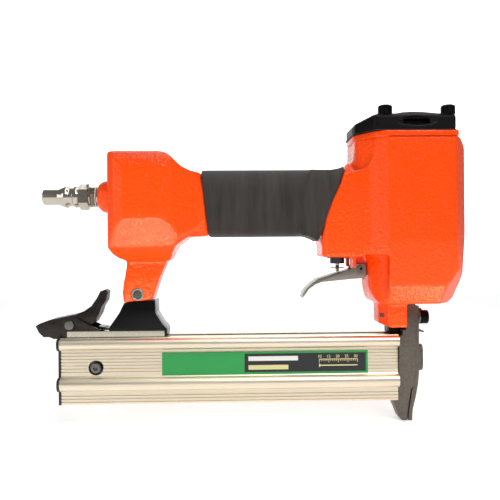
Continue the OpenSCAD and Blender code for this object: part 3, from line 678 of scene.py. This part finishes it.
# The neck's flanks flare toward the head below a ledge that sweeps up the rear facet
FLANK_SIDE = [
    (-43.4, 152.8), (-45.2, 147.2), (-50.3, 135.8), (-54.5, 124.3), (-56.8, 111.3),
    (-56.2, 107.9), (-56.4, 103.9), (-55.2, 102.6), (-37, 102.4), (-31.4, 103.4),
    (-29.6, 106), (-22, 107.6), (-21, 174), (-25.2, 174), (-26, 168), (-27.4, 162.4),
    (-30, 157.2), (-33.6, 155), (-38, 154.2),
]
FLANK_PLAN = mirrored(
    [
        (-57, 10), (-56.2, 13.4), (-54, 15.2), (-50, 16.4), (-44, 18), (-36, 20.6),
        (-29, 23), (-26.6, 24.6), (-24, 26.6), (-20, 26.6),
    ]
)
LUG_SIDE = [(-36, 104), (-36, 93.2), (-33.5, 91.4), (-26, 91.4), (-26, 104)]
FOOT_SIDE = [
    (-23.8, 80), (-23.8, 69.9), (-22.6, 64.9), (-20.6, 61.5), (-14.7, 59.2),
    (-4.3, 59.2), (-4.3, 80),
]
FOOT_PLAN = mirrored([(-4, -14), (-15.8, -14), (-20.6, -6)])
BLOCK_PLAN = mirrored(
    [
        (-187, -12), (-185, -19), (-181, -23.2), (-175, -25), (-152, -25), (-146, -23),
        (-132, -15.8), (-124, -15.8),
    ]
)
BLOCK_SIDE = [
    (-187, 162.5), (-186.4, 165), (-184.9, 166.8), (-182.4, 167.6), (-155.6, 167.6),
    (-151.6, 166.8), (-148.4, 165), (-144.8, 161.2), (-141.2, 158), (-136, 155.6),
    (-130.4, 154.6), (-123.4, 154.6), (-123.4, 116.4), (-138, 115.4), (-145.2, 110.2),
    (-149, 101.4), (-176.3, 101.4), (-180, 103), (-183.2, 105.4), (-185.4, 109),
    (-186.2, 113),
]
LEG_SIDE = [
    (-176.2, 103), (-176, 98.7), (-177.9, 87), (-178.5, 81.7), (-177.8, 75.8),
    (-160.4, 77.2), (-155.9, 90.4), (-150, 103.9),
]
RIB_HALF_W = 14
CORE_RADIUS = 12


def rounded(half_w, half_h, radius, centre_z, steps=8):
    """A rounded rectangle about the handle's axis as (y, z) pairs."""
    corners = ((1, 1), (-1, 1), (-1, -1), (1, -1))
    outline = []
    for turn, (u, v) in enumerate(corners):
        for step in range(steps + 1):
            angle = math.pi / 2 * (turn + step / steps)
            outline.append(
                (
                    u * (half_w - radius) + radius * math.cos(angle),
                    centre_z + v * (half_h - radius) + radius * math.sin(angle),
                )
            )
    return outline


def head_form():
    """The head between its side faces, front facets and rear facets."""
    head = slab("head", HEAD_PLAN, 73, 173.8, "Z")
    combine(head, slab("side", HEAD_SIDE, -31, 31), "INTERSECT")
    combine(head, slab("front", HEAD_FRONT, -45, 35, "X"), "INTERSECT")
    # Facets that lean in below the side faces
    trim_both(head, (14.5, 28.6, 85.4), (0.62, 0.62, -0.5))
    # Below the neck the rear is a barrel round the cylinder
    around = block("around", (-40, -32, 72), (-18.6, 32, 104))
    carve(around, rod("barrel", 27.7, (DRIVE_X, 0, 70), (DRIVE_X, 0, 106), 96))
    carve(head, around)
    return head


def foot_form():
    """The foot above the rail, with slanted rear corners."""
    foot = slab("foot", FOOT_SIDE, -15, 15)
    combine(foot, slab("plan", FOOT_PLAN, 58, 82, "Z"), "INTERSECT")
    return foot


def rear_form():
    """The rear block: flat barrel sides that lean in below and round over on top."""
    rear = slab("rear", BLOCK_PLAN, 90, 180, "Z")
    combine(rear, slab("side", BLOCK_SIDE, -31, 31), "INTERSECT")
    for y, z, lean in ((25, 157, 0.32), (24, 161.5, 0.85), (21, 165.4, 1.8)):
        trim_both(rear, (-160, y, z), (0, 1, lean))
    trim_both(rear, (-160, 25, 127), (0, 1, -0.34))
    trim_both(rear, (-160, 19.6, 110), (0, 1, -1.1))
    # The side face ends toward the handle along a slanted edge
    trim_both(rear, (-144, 23.8, 118), (0.62, 0.75, -0.5))
    trim_both(rear, (-145, 24, 150), (0.5, 0.85, 0.12))
    # The block meets the sleeve along the sleeve's slanted end
    trim(rear, (-128.2, 0, 136.4), (1, 0, 0.115))
    return rear


def leg_form():
    leg = slab("leg", LEG_SIDE, -9, 9)
    foot = slab("pad", [(-178.6, 74), (-159, 76), (-153, 89), (-178.8, 89)], -9, 9)
    combine(foot, slab("side", LEG_SIDE, -9, 9), "INTERSECT")
    trim_both(leg, (-168, 9, 89), (0, 1, 0.05))
    return weld(leg, foot)


class NailerHousing(bpy.types.Operator):
    """Models the cast body: head, neck, handle core, rear block, leg and foot"""

    bl_idname = "nailer.housing"
    bl_label = "Cast body"

    def execute(self, context):
        body = head_form()
        neck = slab("neck", NECK_SIDE, -12.6, 12.6)
        trim_both(neck, (-45, 11, 157), (0, 1, 1))
        flank = slab("flank", FLANK_SIDE, -28, 28)
        combine(flank, slab("plan", FLANK_PLAN, 100, 180, "Z"), "INTERSECT")
        core = slab("core", rounded(14.5, 18.7, CORE_RADIUS, GRIP_Z), -136, -38, "X")
        boss = turned(
            "boss",
            [
                (-194.2, 0), (-194.2, 6.4), (-193.8, 7.4), (-192.6, 8.8),
                (-190.9, 9.8), (-189, 10.2), (-184, 10.2), (-184, 0),
            ],
            (0, 0, INLET_Z),
        )
        weld(body, neck, flank, core, rear_form(), leg_form(), boss)
        slot = block("trigger_slot", (-41, -7.7, 87.2), (-26.6, 7.7, 102.4))
        carve(body, slot)
        weld(body, slab("lug", LUG_SIDE, -5, 5), foot_form())
        # The rib behind the trigger pocket, and the pocket's arch
        rib = block("rib", (-37.5, -RIB_HALF_W, 96), (-35.3, -7.8, 104))
        weld(body, rib, block("rib", (-37.5, 7.8, 96), (-35.3, RIB_HALF_W, 104)))
        cast(body, sizes().cast_voxel, 6)
        rim = slab("rim", RIM_PLAN, 173.3, BODY_HIGH.z, "Z")
        bevel(rim, 1.0, 4)
        weld(body, rim)
        for side in SIDES:
            low, high = sorted((side * 28.9, side * 31))
            carve(body, block("shadow_line", (-21, low, 172.9), (24, high, 173.6)))
        self.hollow(body)
        smooth(body, 50)
        finish_piece(body, "frame", "housing_paint", finish("enamel"), "housing")
        return {"FINISHED"}

    def hollow(self, body):
        """Bores, chambers, screw holes and slots of the casting."""
        carve(
            body,
            rod("pocket", 20.5, (DRIVE_X, 0, 149), (DRIVE_X, 0, 179), 96),
            rod("chamber", 25.5, (DRIVE_X, 0, 92), (DRIVE_X, 0, 150), 96),
            rod("seat", 18, (DRIVE_X, 0, 80.2), (DRIVE_X, 0, 93), 96),
            block("channel", (DRIVE_X - 0.9, -2.4, 72), (DRIVE_X + 0.9, 2.4, 81)),
            rod("airway", 10.5, (-178, 0, GRIP_Z), (-20, 0, GRIP_Z)),
            rod("rear_room", 20, (-181, 0, GRIP_Z), (-149, 0, GRIP_Z), 96),
            rod("inlet", 5.6, (-197, 0, INLET_Z), (-180, 0, INLET_Z)),
            rod("valve", 6.5, (VALVE.x, 0, 101.8), (VALVE.x, 0, GRIP_Z)),
            rod("valve_mouth", 4.7, (VALVE.x, 0, 98), (VALVE.x, 0, 103)),
            block("leg_slot", (-174.7, -3.1, 70), (-163.3, 3.1, 86.4)),
        )
        for side in SIDES:
            carve(
                body,
                rod("bush", 4.1, (LEG_PIN.x, side * 3.1, LEG_PIN.z),
                    (LEG_PIN.x, side * 10, LEG_PIN.z)),
                rod("guide", 2.5, (-18, side * 6.4, 64.9), (0, side * 6.4, 64.9)),
            )
            for x in (-SCREW_X, SCREW_X):
                y = side * SCREW_Y
                carve(body, rod("screw", 2.5, (x, y, 159), (x, y, 180)))
        carve(
            body,
            rod("pin", 2, (TRIGGER_PIN.x, -7, TRIGGER_PIN.z),
                (TRIGGER_PIN.x, 7, TRIGGER_PIN.z)),
            rod("cross_pin", 1.2, (CROSS_PIN.x, -15, CROSS_PIN.z),
                (CROSS_PIN.x, 15, CROSS_PIN.z)),
        )


GRIP_FLARE = [
    (-64, 156.6), (-58, 156.2), (-51, 156.2), (-46.4, 156.8), (-42.6, 158.4), (-41, 158.8),
    (-41, 156), (-45, 147.2), (-50, 135.8), (-54.2, 124.3), (-57.6, 111.3),
    (-60.4, 113.6), (-65, 115.6), (-70, 116.2), (-66, 136),
]
GRIP_ENDS = [
    (-130.4, 159), (-125.6, 114), (-62, 110), (-58.2, 110.6), (-57.6, 113.4),
    (-54.4, 124.3), (-50.2, 135.8), (-45.2, 147.2), (-42.2, 156), (-41.6, 159),
]


class NailerGrip(bpy.types.Operator):
    """Models the foam rubber sleeve with rolled rims at both ends"""

    bl_idname = "nailer.grip"
    bl_label = "Grip sleeve"

    def execute(self, context):
        half_w = GRIP_HIGH.y
        half_h = (GRIP_HIGH.z - GRIP_LOW.z) / 2
        sleeve = slab(
            "grip_sleeve", rounded(half_w, half_h - 0.3, 14.5, GRIP_Z), -134, -38, "X"
        )
        # Rolled rims flare upward at the front and downward at the lower corner
        flare = slab("flare", GRIP_FLARE, -half_w, half_w)
        combine(
            flare,
            slab("round", rounded(half_w, half_h + 3.5, 13, GRIP_Z - 0.5), -70, -36, "X"),
            "INTERSECT",
        )
        weld(sleeve, flare)
        combine(sleeve, slab("side", GRIP_ENDS, -20, 20), "INTERSECT")
        cast(sleeve, sizes().sleeve_voxel, 12)
        bore = slab("bore", rounded(14.6, 18.8, CORE_RADIUS, GRIP_Z), -140, -36, "X")
        carve(sleeve, bore)
        smooth(sleeve, 50)
        finish_piece(sleeve, "frame", "grip_rubber", finish("rubber"), "grip_sleeve")
        return {"FINISHED"}


# ---- cap and screws ----

CAP_PLAN = mirrored(
    [(-36.6, -9.4), (-35.6, -14), (-27.2, -26.8), (-25.6, -28), (21.6, -28)]
)
CAP_SIDE = [
    (-36.6, 177.8), (-36.6, 182), (-35.6, 183.6), (-26, 187), (-24, 188), (-13, 188),
    (-9, 189.1), (-5, 189.5), (-1, 189.6), (3, 189.4), (8, 188.7), (12, 188),
    (21.4, 188), (22.8, 187.2), (22.8, 186), (21.6, 185.2), (21.6, 177.8),
]


class NailerCap(bpy.types.Operator):
    """Models the head cap with its exhaust recesses and four socket screws"""

    bl_idname = "nailer.cap"
    bl_label = "Head cap"

    def execute(self, context):
        cap = slab("cylinder_cap", CAP_PLAN, CAP_LOW.z, CAP_HIGH.z, "Z")
        combine(cap, slab("side", CAP_SIDE, -29, 29), "INTERSECT")
        # The sides lean in above the recess
        trim_both(cap, (0, 28, 185.6), (0, 0.6, 1))
        # Lens-shaped recess between two arcs
        for side in SIDES:
            lens = turned(
                "lens",
                [(-12.8, 0), (-11.2, 1.1), (-8, 2.0), (-3, 2.6), (3, 2.6), (8, 2.0),
                 (11.2, 1.1), (12.8, 0)],
                (-1.6, side * 28.3, 183),
            )
            carve(cap, lens)
        cast(cap, sizes().cap_voxel, 4)
        for side in SIDES:
            y = side * 24.5
            mouth = block("mouth", (-9.6, y - 3.4, 181.5), (6.4, y + 3.4, 184.4))
            carve(cap, bevel(mouth, 1.1, 3))
            y = side * SCREW_Y
            for x in (-SCREW_X, SCREW_X):
                carve(cap, rod("hole", 2.5, (x, y, 176), (x, y, 191)))
                carve(cap, rod("seat", 4.9, (x, y, SCREW_SEAT_Z), (x, y, 191)))
        carve(
            cap,
            rod("room", 17.5, (DRIVE_X, 0, 176), (DRIVE_X, 0, 179.2), 96),
            rod("bore", 6.1, (DRIVE_X, 0, 176), (DRIVE_X, 0, 185)),
        )
        well = rod("well", 10.2, (DRIVE_X, 0, 176), (DRIVE_X, 0, 183), 64)
        carve(well, rod("core", 7.8, (DRIVE_X, 0, 175), (DRIVE_X, 0, 184), 64))
        carve(cap, well)
        smooth(cap, 45)
        finish_piece(cap, "frame", "cap_black", finish("cap"), "cylinder_cap")
        self.screws()
        return {"FINISHED"}

    def screws(self):
        """Round socket heads with a hexagon well and a knurled rim."""
        places = [(x, side * SCREW_Y) for x in (-SCREW_X, SCREW_X) for side in SIDES]
        base = SCREW_SEAT_Z
        for number, (x, y) in enumerate(places):
            head = turned(
                "cap_screw_%d" % (number + 1),
                [
                    (base - 27, 0), (base - 27, 2.1), (base - 26.6, 2.45), (base, 2.45),
                    (base, 4.1), (base + 0.2, 4.25), (base + 4.7, 4.25),
                    (base + 5.3, 3.9), (base + 5.6, 3.3), (base + 5.6, 0),
                ],
                (x, y, 0),
                "Z",
                48,
            )
            carve(head, rod("key", 2.3, (x, y, base + 2.8), (x, y, base + 7), 6))
            smooth(head, 30)
            nodes = ("cap_screws",) if number == 0 else ()
            finish_piece(head, "frame", "black_screws", finish("oxide"), *nodes)


# ---- nose ----

class NailerNose(bpy.types.Operator):
    """Models the nose: driver guide, cover, boss, screws, washers and spacer"""

    bl_idname = "nailer.nose"
    bl_label = "Nose"

    def execute(self, context):
        guide = copy_of("driver_guide", 0.35, 3)
        finish_piece(guide, "frame", "nose_steel", finish("nose"), "driver_guide")
        cover = copy_of("guide_cover", 0.35, 3)
        finish_piece(cover, "frame", "cover_steel", finish("nose"), "guide_cover")
        for node, slot, look, edge in (
            ("guide_screws", "black_screws", "oxide", 0.3),
            ("guide_washers", "bush_steel", "dull_steel", 0.15),
            ("rail_spacer", "cap_black", "oxide", 0.4),
            ("rail_pin", "pin_steel", "dull_steel", 0.2),
        ):
            piece = copy_of(node, edge, 2)
            finish_piece(piece, "frame", slot, finish(look), node)
        return {"FINISHED"}


# ---- trigger and valve ----


class NailerTrigger(bpy.types.Operator):
    """Models the trigger, its pin and the trigger valve"""

    bl_idname = "nailer.trigger"
    bl_label = "Trigger and valve"

    def execute(self, context):
        trigger = copy_of("trigger", 0.8, 4, 25)
        finish_piece(trigger, "trigger", "trigger_steel", finish("steel"), "trigger")
        for node, body, slot, look, edge in (
            ("trigger_pin", "frame", "pin_steel", "dull_steel", 0.25),
            ("valve_body", "frame", "valve_black", "black_plastic", 0.3),
            ("valve_stem", "valve_stem", "valve_plastic", "zinc", 0.15),
            ("stem_clip", "valve_stem", "pin_steel", "dull_steel", 0.1),
        ):
            piece = copy_of(node, edge, 2)
            finish_piece(piece, body, slot, finish(look), node)
        return {"FINISHED"}


# ---- air plug ----


class NailerPlug(bpy.types.Operator):
    """Models the quick-connect plug with its groove, flare and hexagon"""

    bl_idname = "nailer.plug"
    bl_label = "Air plug"

    def execute(self, context):
        tip = PLUG_LOW.x
        thread = [
            point
            for ridge in range(4)
            for point in ((tip + 29.7 + 0.85 * ridge, 5.7), (tip + 30.1 + 0.85 * ridge, 6.5))
        ]
        plug = turned(
            "air_plug",
            [
                (tip, 3.0), (tip, 4.3), (tip + 0.25, 4.7), (tip + 0.8, 4.9),
                (tip + 9.2, 4.9), (tip + 9.8, 5.1), (tip + 12.4, 6.2),
                (tip + 13.6, 6.7), (tip + 14.4, 6.8), (tip + 15.2, 6.7),
                (tip + 16.1, 5.95), (tip + 16.6, 5.8), (tip + 18.4, 5.8),
                (tip + 18.9, 6.0), (tip + 19.3, 6.6), (tip + 19.8, 6.7),
                (tip + 21.2, 6.7), (tip + 21.8, 6.5), (tip + 22.4, 6.0),
                (tip + 22.7, 6.0), (tip + 28.6, 6.0), (tip + 29, 6.5),
                (tip + 29.6, 6.5), *thread, (tip + 33.2, 5.9), (tip + 33.4, 5.5),
                (PLUG_HIGH.x, 5.5), (PLUG_HIGH.x, 3.0),
            ],
            (0, 0, INLET_Z),
            "X",
            96,
        )
        hexagon = rod("hexagon", 8.2, (-206, 0, INLET_Z), (-199.6, 0, INLET_Z), 6)
        carve(hexagon, rod("way", 4, (-210, 0, INLET_Z), (-190, 0, INLET_Z)))
        cone = turned(
            "cone",
            [(-206, 0), (-206, 6.7), (-205.1, 8.3), (-200.5, 8.3), (-199.6, 6.7), (-199.6, 0)],
            (0, 0, INLET_Z),
            "X",
            96,
        )
        combine(hexagon, cone, "INTERSECT")
        bevel(hexagon, 0.3, 3, 40)
        weld(plug, hexagon)
        smooth(plug, 40)
        finish_piece(plug, "frame", "plug_nickel", finish("nickel"), "air_plug")
        return {"FINISHED"}


# ---- rail, bracket and latch ----


class NailerRail(bpy.types.Operator):
    """Models the fixed rail, the pressed bracket, its rivets, bushes and pins"""

    bl_idname = "nailer.rail"
    bl_label = "Rail and bracket"

    def execute(self, context):
        for node, slot, look, edge in (
            ("fixed_rail", "rail_chrome", "zinc", 0.2),
            ("support_bracket", "bracket_black", "gloss_black", 0.5),
            ("bracket_rivets", "pin_steel", "dull_steel", 0.4),
            ("leg_bush", "bush_steel", "zinc", 0.3),
            ("leg_pin", "pin_steel", "nose", 0.3),
            ("latch_ears", "ear_steel", "lever", 0.3),
            ("latch_pin", "pin_steel", "dull_steel", 0.3),
        ):
            piece = copy_of(node, edge, 3)
            finish_piece(piece, "frame", slot, finish(look), node)
        return {"FINISHED"}


LEVER_HALF_W = 7.2


class NailerLatch(bpy.types.Operator):
    """Models the latch lever"""

    bl_idname = "nailer.latch"
    bl_label = "Latch lever"

    def execute(self, context):
        lever = copy_of("latch_lever", 0.5, 3)
        trim_both(lever, (LATCH_PIN.x, LEVER_HALF_W, 67), (0, 1, 0.2))
        smooth(lever)
        finish_piece(lever, "latch", "lever_iron", finish("lever"), "latch_lever")
        return {"FINISHED"}


# ---- magazine ----


def shell_section():
    """Half of the extrusion's section as (y, z) pairs, with ribs, from floor to top."""
    pitch, depth = sizes().rib_pitch / MM, sizes().rib_depth / MM
    out = [(0, 13.4), (7.6, 13.4), (8.3, 13.7)]

    def ribs(low, count, half_w):
        for number in range(count):
            z = low + number * pitch
            out.extend(
                [
                    (half_w, z - 0.42), (half_w - depth, z - 0.22),
                    (half_w - depth, z + 0.22), (half_w, z + 0.42),
                ]
            )

    ribs(15.2, 3, 8.5)
    out.extend([(8.5, 21.6), (10.2, 22.0)])
    for step in range(9):
        angle = math.radians(-80 + step * 20)
        out.append((9.6 + 3.9 * math.cos(angle), 26.2 + 4.15 * math.sin(angle)))
    out.extend([(9.2, 30.1), (8.5, 31)])
    ribs(33.7, 7, 8.5)
    out.extend([(8.5, 46.7), (9.6, 46.9)])
    for step in range(9):
        angle = math.radians(-80 + step * 20)
        out.append((9.9 + 3.6 * math.cos(angle), 50.55 + 3.55 * math.sin(angle)))
    out.append((10.2, 54.5))
    return out


class NailerMagazine(bpy.types.Operator):
    """Models the ribbed magazine, its end plate, screws, seat, rod and pusher"""

    bl_idname = "nailer.magazine"
    bl_label = "Magazine"

    def execute(self, context):
        half = shell_section()
        outline = half + [(-y, z) for y, z in reversed(half[1:])]
        shell = slab("magazine_shell", outline, SHELL_LOW.x, SHELL_HIGH.x, "X")
        carve(
            shell,
            block("slot", (-220, -3.2, 24), (0, 3.2, 56)),
            rod("window", 4.6, (-195, -20, 36), (-195, -3.1, 36)),
            rod("tapping", 1.5, (-218, 0, 18.4), (-204.2, 0, 18.4)),
        )
        smooth(shell, 28)
        finish_piece(
            shell, "magazine", "magazine_aluminium", finish("anodised"), "magazine_shell"
        )
        for node, body, slot, look, edge in (
            ("end_plate", "magazine", "cap_black", "black_plastic", 0.25),
            ("plate_screw", "magazine", "black_screws", "oxide", 0.2),
            ("spring_seat", "magazine", "nose_steel", "dull_steel", 0.2),
            ("seat_screw", "magazine", "pin_steel", "dull_steel", 0.2),
            ("guide_rod", "magazine", "hard_steel", "steel", 0.2),
            ("pusher", "pusher", "hard_steel", "dull_steel", 0.2),
        ):
            piece = copy_of(node, edge, 2)
            finish_piece(piece, body, slot, finish(look), node)
        return {"FINISHED"}


INK_THICK = 0.03


def printed(name, outline, front):
    """A printed shape on the label's face. Pairs are (x, z)."""
    return slab(name, outline, front - INK_THICK, front + 0.1)


def rectangle(low_x, low_z, high_x, high_z):
    return [(low_x, low_z), (high_x, low_z), (high_x, high_z), (low_x, high_z)]


def figure(text, height, x, z, front):
    """A number as thin geometry standing on the label's face."""
    settle()
    bpy.ops.object.text_add(rotation=(math.pi / 2, 0, 0))
    letters = bpy.context.view_layer.objects.active
    letters.data.body = text
    letters.data.align_x = "CENTER"
    letters.data.size = height * MM
    letters.data.extrude = INK_THICK * MM
    letters.location = Vector((x, front, z)) * MM
    bpy.ops.object.convert(target="MESH")
    return name_it("figure_" + text)


class NailerLabel(bpy.types.Operator):
    """Models the label: field, dark panel, scale numbers, ticks and bars"""

    bl_idname = "nailer.label"
    bl_label = "Label"

    def execute(self, context):
        low, high = cad_box("magazine_label")
        front = low.y
        label = block("magazine_label", low, high)
        bevel(label, 0.08, 2)
        finish_piece(label, "magazine", "label_film", finish("label"), "magazine_label")
        split = low.x + 50.6
        edge = 1.3
        panel = printed(
            "label_panel",
            rectangle(split, low.z + edge, high.x - edge, high.z - edge),
            front,
        )
        finish_piece(panel, "magazine", "label_film", finish("label_ink"))
        self.print_bars(split + 2.4, low.z, high.z, front - INK_THICK)
        self.print_scale(split + 46, low.z, high.z, front - INK_THICK)
        return {"FINISHED"}

    def print_bars(self, x, low_z, high_z, front):
        """Two plain bars in place of lettering."""
        upper = printed("label_bars", rectangle(x, high_z - 5.8, x + 30.6, high_z - 3), front)
        finish_piece(upper, "magazine", "label_film", finish("label_white"))
        lower = printed("label_bar", rectangle(x, low_z + 2.8, x + 24.6, low_z + 5.6), front)
        finish_piece(lower, "magazine", "label_film", finish("label_gold"))

    def print_scale(self, x, low_z, high_z, front):
        """A length scale with its numbers, and a brad's picture below it."""
        gold = finish("label_gold")
        axis_z = low_z + 5
        brad = printed("label_brad", rectangle(x, axis_z - 1, x + 0.7, axis_z + 1), front)
        shank = [
            (x + 0.4, axis_z - 0.35), (x + 23, axis_z - 0.35), (x + 24.4, axis_z),
            (x + 23, axis_z + 0.35), (x + 0.4, axis_z + 0.35),
        ]
        weld(brad, printed("shank", shank, front))
        finish_piece(brad, "magazine", "label_film", gold)
        line_z = high_z - 5.2
        scale = printed("label_scale", rectangle(x, line_z - 0.2, x + 24, line_z + 0.2), front)
        for number in range(21):
            left = x + number * 1.185
            drop = 2.1 if number % 5 == 0 else 1.2
            tick = rectangle(left, line_z - drop, left + 0.3, line_z)
            weld(scale, printed("tick", tick, front))
        finish_piece(scale, "magazine", "label_film", gold)
        for number in range(5):
            length = str(10 + 5 * number)
            text = figure(length, 2.5, x + 0.3 + number * 5.6, line_z + 0.9, front)
            finish_piece(text, "magazine", "label_film", gold)


# ---- springs and the inner pieces ----

INNER_FINISHES = {
    "cylinder": "aluminium",
    "piston": "aluminium",
    "cylinder_seals": "seal",
    "piston_ring": "seal",
    "head_valve": "acetal",
    "head_valve_rings": "seal",
    "bumper": "bumper",
    "driver_blade": "steel",
    "cap_gasket": "seal",
    "valve_seals": "seal",
    "plug_seal": "tape",
    "latch_spring": "spring",
}


class NailerInner(bpy.types.Operator):
    """Gives the hidden working parts their finishes and winds the springs"""

    bl_idname = "nailer.inner"
    bl_label = "Inner parts"

    def execute(self, context):
        for node, look in INNER_FINISHES.items():
            part = frame["nodes"][node]
            part.data.materials.clear()
            part.data.materials.append(finish(look))
        head = coil(
            "head_valve_spring", 0.55, 9, (DRIVE_X, 0, 168), (DRIVE_X, 0, 183), 4
        )
        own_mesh(head)
        finish_piece(head, "frame", "spring_steel", finish("spring"), "head_valve_spring")
        low, high = cad_box("valve_spring")
        small = coil(
            "valve_spring", 0.25, 1.9, (VALVE.x, 0, low.z), (VALVE.x, 0, high.z), 5
        )
        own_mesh(small)
        finish_piece(small, "frame", "spring_steel", finish("spring"), "valve_spring")
        low, high = cad_box("pusher_spring")
        middle = (low + high) / 2
        push = coil(
            "pusher_spring",
            0.28,
            2.2,
            (low.x, middle.y, middle.z),
            (high.x, middle.y, middle.z),
            46,
            6,
            12,
        )
        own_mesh(push)
        finish_piece(push, "magazine", "spring_steel", finish("spring"), "pusher_spring")
        return {"FINISHED"}


# ---- stage ----

CAMERA_PLACE = (-109.9, -379.9, 107.4)
CAMERA_YAW = 1.5
CAMERA_ROLL = 0.47
LENS = 43.43
WARM_LIGHT = (1, 0.82, 0.5)


def softbox(name, place, aim, width, height, power, colour=(1, 1, 1)):
    """A rectangular softbox turned to a point. Places are in millimetres."""
    settle()
    place, aim = Vector(place) * MM, Vector(aim) * MM
    turn = (aim - place).to_track_quat("-Z", "Y").to_euler()
    bpy.ops.object.light_add(type="AREA", location=place, rotation=turn)
    lamp = bpy.context.view_layer.objects.active
    lamp.name = name
    lamp.data.shape = "RECTANGLE"
    lamp.data.size = width * MM
    lamp.data.size_y = height * MM
    lamp.data.energy = power
    lamp.data.color = colour
    return lamp


class NailerStage(bpy.types.Operator):
    """Sets the camera, the pale floor and the soft studio light"""

    bl_idname = "nailer.stage"
    bl_label = "Stage and camera"

    def execute(self, context):
        settle()
        bpy.ops.object.camera_add(location=Vector(CAMERA_PLACE) * MM)
        camera = context.view_layer.objects.active
        level = Matrix.Rotation(math.radians(90), 4, "X")
        yaw = Matrix.Rotation(math.radians(-CAMERA_YAW), 4, "Z")
        roll = Matrix.Rotation(math.radians(-CAMERA_ROLL), 4, "Z")
        place = Matrix.Translation(camera.location)
        camera.matrix_world = place @ yaw @ level @ roll
        camera.data.lens = LENS
        camera.data.sensor_width = 36
        camera.data.clip_start = 0.01
        context.scene.camera = camera
        self.floor()
        self.light(context)
        return {"FINISHED"}

    def floor(self):
        """A white paper floor and a lit backdrop of the same paper."""
        paper, tree, shader = start_material("white_paper", Roughness=0.9)
        shader.inputs["Base Color"].default_value = from_hex("FAFAFA")
        shader.inputs["Emission Color"].default_value = from_hex("FFFFFF")
        shader.inputs["Emission Strength"].default_value = 0.42
        glow, tree, shader = start_material("lit_paper", Roughness=0.9)
        shader.inputs["Base Color"].default_value = from_hex("FAFAFA")
        shader.inputs["Emission Color"].default_value = from_hex("FFFFFF")
        shader.inputs["Emission Strength"].default_value = 1.0
        for name, size, place, turn, look in (
            ("floor", 9, (0, 0, -0.2), (0, 0, 0), paper),
            ("backdrop", 2.6, (-100, 2000, 1000), (math.pi / 2, 0, 0), glow),
        ):
            settle()
            bpy.ops.mesh.primitive_plane_add(
                size=size, location=Vector(place) * MM, rotation=turn
            )
            sheet = bpy.context.view_layer.objects.active
            sheet.name = name
            sheet.data.materials.append(look)

    def light(self, context):
        world = bpy.data.worlds.new("studio")
        world.use_nodes = True
        background = world.node_tree.nodes["Background"]
        background.inputs["Color"].default_value = (1, 1, 1, 1)
        background.inputs["Strength"].default_value = 0.22
        context.scene.world = world
        softbox("key", (160, -560, 720), (-100, 0, 110), 420, 300, 3.2)
        softbox("top", (-120, 0, 800), (-100, 0, 100), 900, 300, 2)
        softbox("left", (-800, -420, 300), (-150, 0, 100), 200, 420, 0.7)
        # Two small lamps low in front graze the lower facets of the enamel only
        painted = bpy.data.collections.new("painted_body")
        painted.objects.link(bpy.data.objects["head"])
        for name, place, aim, width, height, power in (
            ("low", (28, -64, 4), (5, -24, 80), 90, 40, 0.12),
            ("glint", (-186, -176, 4), (-160, -24, 118), 110, 50, 0.5),
        ):
            lamp = softbox(name, place, aim, width, height, power, WARM_LIGHT)
            lamp.light_linking.receiver_collection = painted
        context.scene.view_settings.view_transform = "Standard"


class NailerPanel(bpy.types.Panel):
    """Lists the nailer's pieces, sizes and colours"""

    bl_idname = "VIEW3D_PT_nailer"
    bl_label = "Brad nailer"
    bl_space_type = "VIEW_3D"
    bl_region_type = "UI"
    bl_category = "Nailer"

    def draw(self, context):
        layout = self.layout
        for operator in STEPS:
            layout.operator(operator.bl_idname)
        for group in (context.scene.nailer_sizes, context.scene.nailer_colours):
            box = layout.box()
            for name in group.bl_rna.properties.keys():
                if name not in {"rna_type", "name"}:
                    box.prop(group, name)


STEPS = (
    NailerHousing,
    NailerGrip,
    NailerCap,
    NailerNose,
    NailerTrigger,
    NailerPlug,
    NailerRail,
    NailerLatch,
    NailerMagazine,
    NailerLabel,
    NailerInner,
    NailerStage,
)
CLASSES = (NailerColours, NailerSizes, *STEPS, NailerPanel)


def register():
    for each in CLASSES:
        bpy.utils.register_class(each)
    bpy.types.Scene.nailer_colours = bpy.props.PointerProperty(type=NailerColours)
    bpy.types.Scene.nailer_sizes = bpy.props.PointerProperty(type=NailerSizes)


def unregister():
    del bpy.types.Scene.nailer_sizes
    del bpy.types.Scene.nailer_colours
    for each in reversed(CLASSES):
        bpy.utils.unregister_class(each)


def main():
    """Makes every piece in order."""
    register()
    for step in STEPS:
        group, name = step.bl_idname.split(".")
        getattr(getattr(bpy.ops, group), name)()
    settle()


if __name__ == "__main__":
    main()
